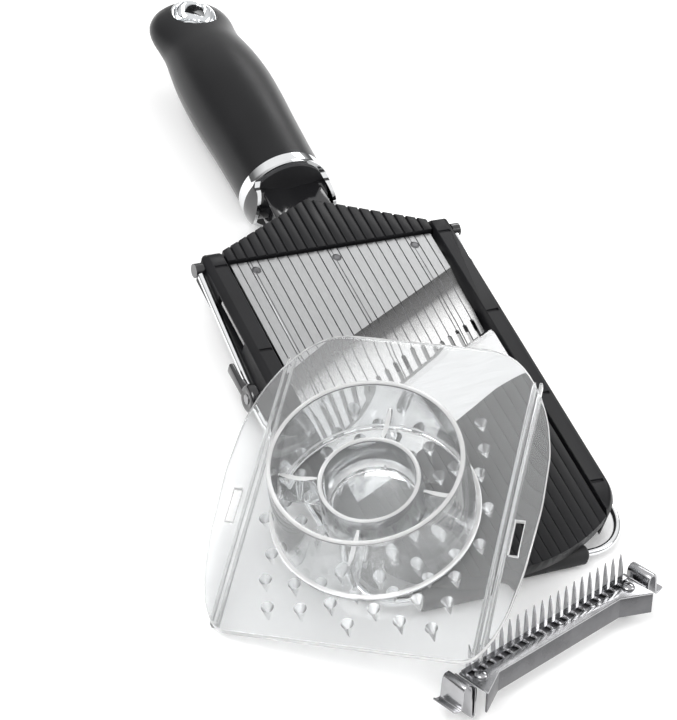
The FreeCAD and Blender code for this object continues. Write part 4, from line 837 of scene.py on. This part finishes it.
MOULDINGS = {  # radius of the edges, and the shortest edge that gets one
    "left_rail": (0.35, 2.0), "right_rail": (0.35, 2.0), "yoke_plate": (0.22, 1.2),
    "landing_plate": (0.14, 1.2), "cross_member": (0.3, 2.0)}
for node, (radius, shortest) in MOULDINGS.items():
    bm = copied(node)
    round_edges(bm, radius, 35, 2, lambda e: e.calc_length() > shortest, clamp=False)
    piece(node + "_moulding", bm, slicer, "slicer_frame", moulded_black, (node,), 35)

# %% [markdown]
# ## The ramp
# The ramp is thin steel that dips behind its crease before it rises to the comb, and the dip is what makes the
# light run from dark to bright across it. The strip behind the comb also gets painted shade in its colour, which runs
# from dark to bright with the distance from the crease. That distance could come from a painted mask. Here two vector
# nodes measure it on Object coordinates, which keeps it exact, and a colour ramp turns it into a grey.

# %% The crease, and the painted shade behind it
CUT_ANGLE = math.radians(25.2)
CUT_SLOPE = math.tan(CUT_ANGLE)
CREASE_LINE, SLOT_LINE = 40.5, 68.0
cross_way = Vector((CUT_SLOPE, -1, 0)).normalized()
crease_point = Vector((0, -CREASE_LINE, 0))
dip_length = (SLOT_LINE - CREASE_LINE) * math.cos(CUT_ANGLE)

painted_band_shade = finish("painted_band_shade", brush, ((5000, 70, 5000),), (0.5, 0.5, 0.5), 0.08, (0.26, 0.05),
                    (0.08, 0.00004), Metallic=1.0)
tree = painted_band_shade.node_tree
spot = add_node(tree, "ShaderNodeTexCoord")
from_crease = add_node(tree, "ShaderNodeVectorMath", {1: slicer @ crease_point}, operation="SUBTRACT")
along = add_node(tree, "ShaderNodeVectorMath", {1: (slicer.to_3x3() @ cross_way).normalized()},
                 operation="DOT_PRODUCT")
share = add_node(tree, "ShaderNodeMapRange", {"From Min": 0.0, "From Max": dip_length * MM})
# Painted shade: dark at the crease, bright towards the comb.
shade = add_node(tree, "ShaderNodeValToRGB")
ramp_stops(shade, [(0.0, 0.10), (0.30, 0.17), (0.40, 0.42), (0.72, 0.74), (1.0, 0.88)])
effect = next(n for n in tree.nodes if n.bl_idname == "ShaderNodeGroup")
join(tree, (spot.outputs["Object"], from_crease.inputs[0]), (from_crease.outputs[0], along.inputs[0]),
     (along.outputs["Value"], share.inputs["Value"]), (share.outputs["Result"], shade.inputs["Fac"]),
     (shade.outputs["Color"], effect.inputs["Colour"]))
print("band", round(dip_length, 1), "mm wide")

# %% [markdown]
# The solid is flat behind its crease. So a merged copy is sliced parallel to the crease into narrow strips with
# bisect_plane, and the strips are pushed down and up along a wave. Each groove of the ramp is found by its left
# wall, the one that faces right. The copy is sliced along both edges of each groove too, so that a groove can take
# painted shade, in the darker steel, and nothing beside it. The faces behind the crease that look up take the band's
# painted shade.

# %% Ramp sheet with its dip
DIP, DIP_STRIPS = 0.42, 14
GROOVE_WIDTH, SLACK = 0.5, 0.02


def past_crease(spot):
    """How far a place lies behind the crease, square to it."""
    return (spot - crease_point).dot(cross_way)


sheet = copied("ramp_plate", joined=False)
walls = sorted({round(f.calc_center_median().x, 2) for f in sheet.faces
                if f.normal.x > 0.95 and max(v.co.y for v in f.verts) > -CREASE_LINE})
for index in range(DIP_STRIPS + 1):
    slice_at(sheet, crease_point + cross_way * (dip_length * index / DIP_STRIPS), cross_way)
for place in walls + [wall + GROOVE_WIDTH for wall in walls]:
    slice_at(sheet, (place, 0, 0), dist=0.002)
for v in sheet.verts:
    if past_crease(v.co) > 0:
        v.co.z -= DIP * math.sin(1.5 * math.pi * min(past_crease(v.co) / dip_length, 1.0))
sheet.normal_update()
# Grooves take the darker steel as painted shade, and upward faces behind the crease take the band's painted shade.
for face in sheet.faces:
    low, high = min(v.co.x for v in face.verts), max(v.co.x for v in face.verts)
    if any(wall - SLACK <= low and high <= wall + GROOVE_WIDTH + SLACK for wall in walls):
        face.material_index = 1
    elif face.normal.z > 0.7 and past_crease(face.calc_center_median()) > 0:
        face.material_index = 2
print("grooves found", len(walls))
piece("ramp_sheet", sheet, slicer, "ramp", (satin_steel, dull_steel_and_painted_shade, painted_band_shade), ("ramp_plate",), 12)

# %% [markdown]
# ## The thickness lever
# Outside the left rail a polished drum turns on the shaft, with a thin thumb tab. The drum is spun, the tab is a
# block whose edges are rounded until it feels like a tab, and a raised web joins the two.

# %% Lever
lever_low, lever_high = local_box("thickness_lever", slicer)
shaft_low, shaft_high = local_box("cam_shaft", slicer)
shaft = Vector((0, (shaft_low.y + shaft_high.y) / 2, (shaft_low.z + shaft_high.z) / 2))
TAB_WALL, TAB_FLARE = 2.4, 1.25
drum = spun([
    (0, lever_low.x + 0.5), (3.4, lever_low.x + 0.2), (4.6, lever_low.x), (5.4, lever_low.x + 0.4),
    (5.9, lever_low.x + 1.2), (5.9, lever_high.x - 0.9), (5.3, lever_high.x - 0.2), (2.1, lever_high.x - 0.1),
    (2.1, lever_high.x - 1.0), (0, lever_high.x - 1.0)], "X", shaft, 64)
tab = block((lever_low.x, shaft.y + 3.5, shaft.z - 2.6), (lever_low.x + TAB_WALL, lever_high.y - 0.3, shaft.z + 1.2))
for v in tab.verts:
    if v.co.y > shaft.y + 10:
        v.co.z = shaft.z + (v.co.z - shaft.z) * TAB_FLARE - 0.2
round_edges(tab, 0.8, 40, 3)
web = block((lever_low.x + 0.6, shaft.y + 2.5, shaft.z - 1.4), (lever_high.x - 0.8, shaft.y + 9.5, shaft.z + 1.4))
round_edges(web, 0.6, 40, 2)
for part in (tab, web):
    add_to(drum, part)
piece("lever_drum", drum, slicer, "thickness_setting", polished_black,
      ("thickness_lever",), 40)

# %% [markdown]
# ## The hand guard
# The guard is one clear moulding, drawn here as four pieces that touch: the plate with its guide ribs, the finger
# ring, the cup in its middle and the webs between them. Clear plastic lives by its edges: light runs along inside
# and leaves at the rim. So every edge gets a generous radius, and one helper gives the rims their own finish, a
# painted glow.

# %% Helper for a clear part with a painted glow on its rims
def clear_part(part, bm, on_rim, smooth_below):
    """Finish a part of the guard. A test picks its rim faces, which take the painted glow, by their centre and normal.
    """
    bm.normal_update()
    for face in bm.faces:
        if on_rim(face.calc_center_median(), face.normal):
            face.material_index = 1
    piece("clear_" + part, bm, guard, "hand_guard", (clear_plastic, painted_rim_glow),
          ("guard_" + part,), smooth_below)


# %% [markdown]
# The plate is a kite with bowed sides. Half its outline is written down and the other half mirrored from it. The
# outline is pushed to the plate's thickness and its upright corners are rounded. A Boolean opens a small window on
# each side before the rims are rounded too. Under each long side run two ribs, with a channel between them.

# %% Guard plate with its ribs
plate_low, plate_high = local_box("guard_plate", guard)
WIDE, FRONT, BACK, THICK = plate_high.x, -plate_low.y, plate_high.y, plate_high.z
GUIDE, RIB_WALL, RIB_DEPTH = 49.0, 1.2, -plate_low.z
RIB_STARTS = (-1.92, 0.72)  # where the two ribs start, from the guide's line
GAP_OUT, GAP_HALF, GAP_FRONT, GAP_BACK = 5.5, 1.6, -12, 3
half = [(WIDE - 14, -FRONT), (WIDE - 8, -FRONT + 9), (WIDE - 4, -FRONT + 22), (WIDE - 1.5, -FRONT + 40),
        (WIDE, -FRONT + 70), (WIDE - 1.2, BACK - 46), (WIDE - 4.8, BACK - 31), (WIDE - 10, BACK - 19),
        (WIDE - 17, BACK - 8.5), (WIDE - 24, BACK - 2.5), (WIDE - 32, BACK)]
outline = half + [(-x, y) for x, y in reversed(half)]


def rise(edge):
    """How much higher one end of an edge is than the other."""
    return abs(edge.verts[0].co.z - edge.verts[1].co.z)


plate = prism([Vector((x, y, 0)) for x, y in outline], (0, 0, THICK))
bevel(plate, [e for e in plate.edges if rise(e) > 1], 6.0, 4)
windows = bmesh.new()
for side in (-1, 1):
    middle = side * (GUIDE + GAP_OUT)
    add_to(windows, block((middle - GAP_HALF, GAP_FRONT, -2), (middle + GAP_HALF, GAP_BACK, THICK + 2)))
plate = carved(plate, windows)
round_edges(plate, 0.75, 50, 3, lambda e: rise(e) < 0.1)
for side in (-1, 1):
    for start in RIB_STARTS:
        low = side * GUIDE + start
        rib = block((low, -FRONT + 4, -RIB_DEPTH), (low + RIB_WALL, BACK - 12, -0.02))
        round_edges(rib, 0.35, 50, 2)
        add_to(plate, rib)
clear_part("plate", plate, lambda centre, normal:
           abs(normal.z) < 0.95 and (centre.z > -0.5 or centre.z < 0.5 - RIB_DEPTH), 35)

# %% [markdown]
# The ring leans inwards a little towards its top, so that it leaves its mould, and it stands on a flange. Its rim
# is a full round. The cup is made in the same way, and closed by a floor. Both are turned shapes, so one outline
# each is spun, and the painted glow goes to the parts of rim and flange that face up.

# %% Finger ring and cup
ring_high, cup_high, webs_high = (local_box(node, guard)[1] for node in ("guard_ring", "guard_cup", "guard_webs"))
RING_BASE, RING_TOP, CUP_TOP = ring_high.x, ring_high.z, cup_high.z
RING_RIM, CUP = 36.6, 19.3
foot = THICK + 0.03
ring = spun([
    (RING_BASE - 3.0, foot), (RING_BASE - 0.5, foot), (RING_BASE, foot + 0.5), (RING_BASE, foot + 1.4),
    (RING_BASE - 0.5, foot + 1.95), (RING_BASE - 1.5, foot + 2.2), (RING_RIM + 0.15, RING_TOP - 1.5),
    (RING_RIM, RING_TOP - 0.6), (RING_RIM - 0.4, RING_TOP - 0.1), (RING_RIM - 0.9, RING_TOP),
    (RING_RIM - 1.4, RING_TOP - 0.1), (RING_RIM - 1.75, RING_TOP - 0.6), (RING_RIM - 1.8, RING_TOP - 1.5),
    (RING_BASE - 3.1, foot + 2.2)], steps=128)
clear_part("ring", ring, lambda centre, normal:
           normal.z > 0.4 and (centre.z > RING_TOP - 0.7 or foot + 1 < centre.z < foot + 2.3), 50)

cup = spun([
    (0, foot), (CUP + 0.5, foot), (CUP + 1.0, foot + 0.6), (CUP + 0.95, foot + 1.6), (CUP + 0.1, CUP_TOP - 1.4),
    (CUP - 0.1, CUP_TOP - 0.5), (CUP - 0.5, CUP_TOP - 0.05), (CUP - 0.95, CUP_TOP), (CUP - 1.4, CUP_TOP - 0.15),
    (CUP - 1.75, CUP_TOP - 0.7), (CUP - 1.8, CUP_TOP - 1.6), (CUP - 2.6, foot + 3.4), (CUP - 3.6, foot + 2.2),
    (CUP - 5.0, foot + 1.8), (0, foot + 1.5)])
clear_part("cup", cup, lambda centre, normal: normal.z > 0.4 and centre.z > CUP_TOP - 0.7, 50)

# %% [markdown]
# Four webs stiffen the ring. Each starts as a thin block between cup and ring, its top dips in the middle, as the
# mould maker likes it, and its edges are rounded. Three slices give the dip points to bend at.

# %% Webs
WEB_HALF_WALL, WEB_MIDDLE, WEB_REACH, WEB_DIP = 0.9, 27.8, 8.5, 2.6
webs = bmesh.new()
for index in range(4):
    web = block((CUP + 0.9, -WEB_HALF_WALL, foot), (RING_RIM - 1.2, WEB_HALF_WALL, webs_high.z - 0.2))
    for place in (24.0, 28.0, 32.0):
        slice_at(web, (place, 0, 0))
    for v in web.verts:
        if v.co.z > foot + 2 and abs(v.co.x - WEB_MIDDLE) < WEB_REACH:
            v.co.z -= WEB_DIP * (1 - ((v.co.x - WEB_MIDDLE) / WEB_REACH) ** 2)
    round_edges(web, 0.5, 50, 2)
    bmesh.ops.rotate(web, cent=(0, 0, 0), matrix=Matrix.Rotation(math.radians(90 * index), 3, "Z"), verts=web.verts)
    add_to(webs, web)
clear_part("webs", webs, lambda centre, normal: normal.z > 0.6 and centre.z > foot + 2, 40)
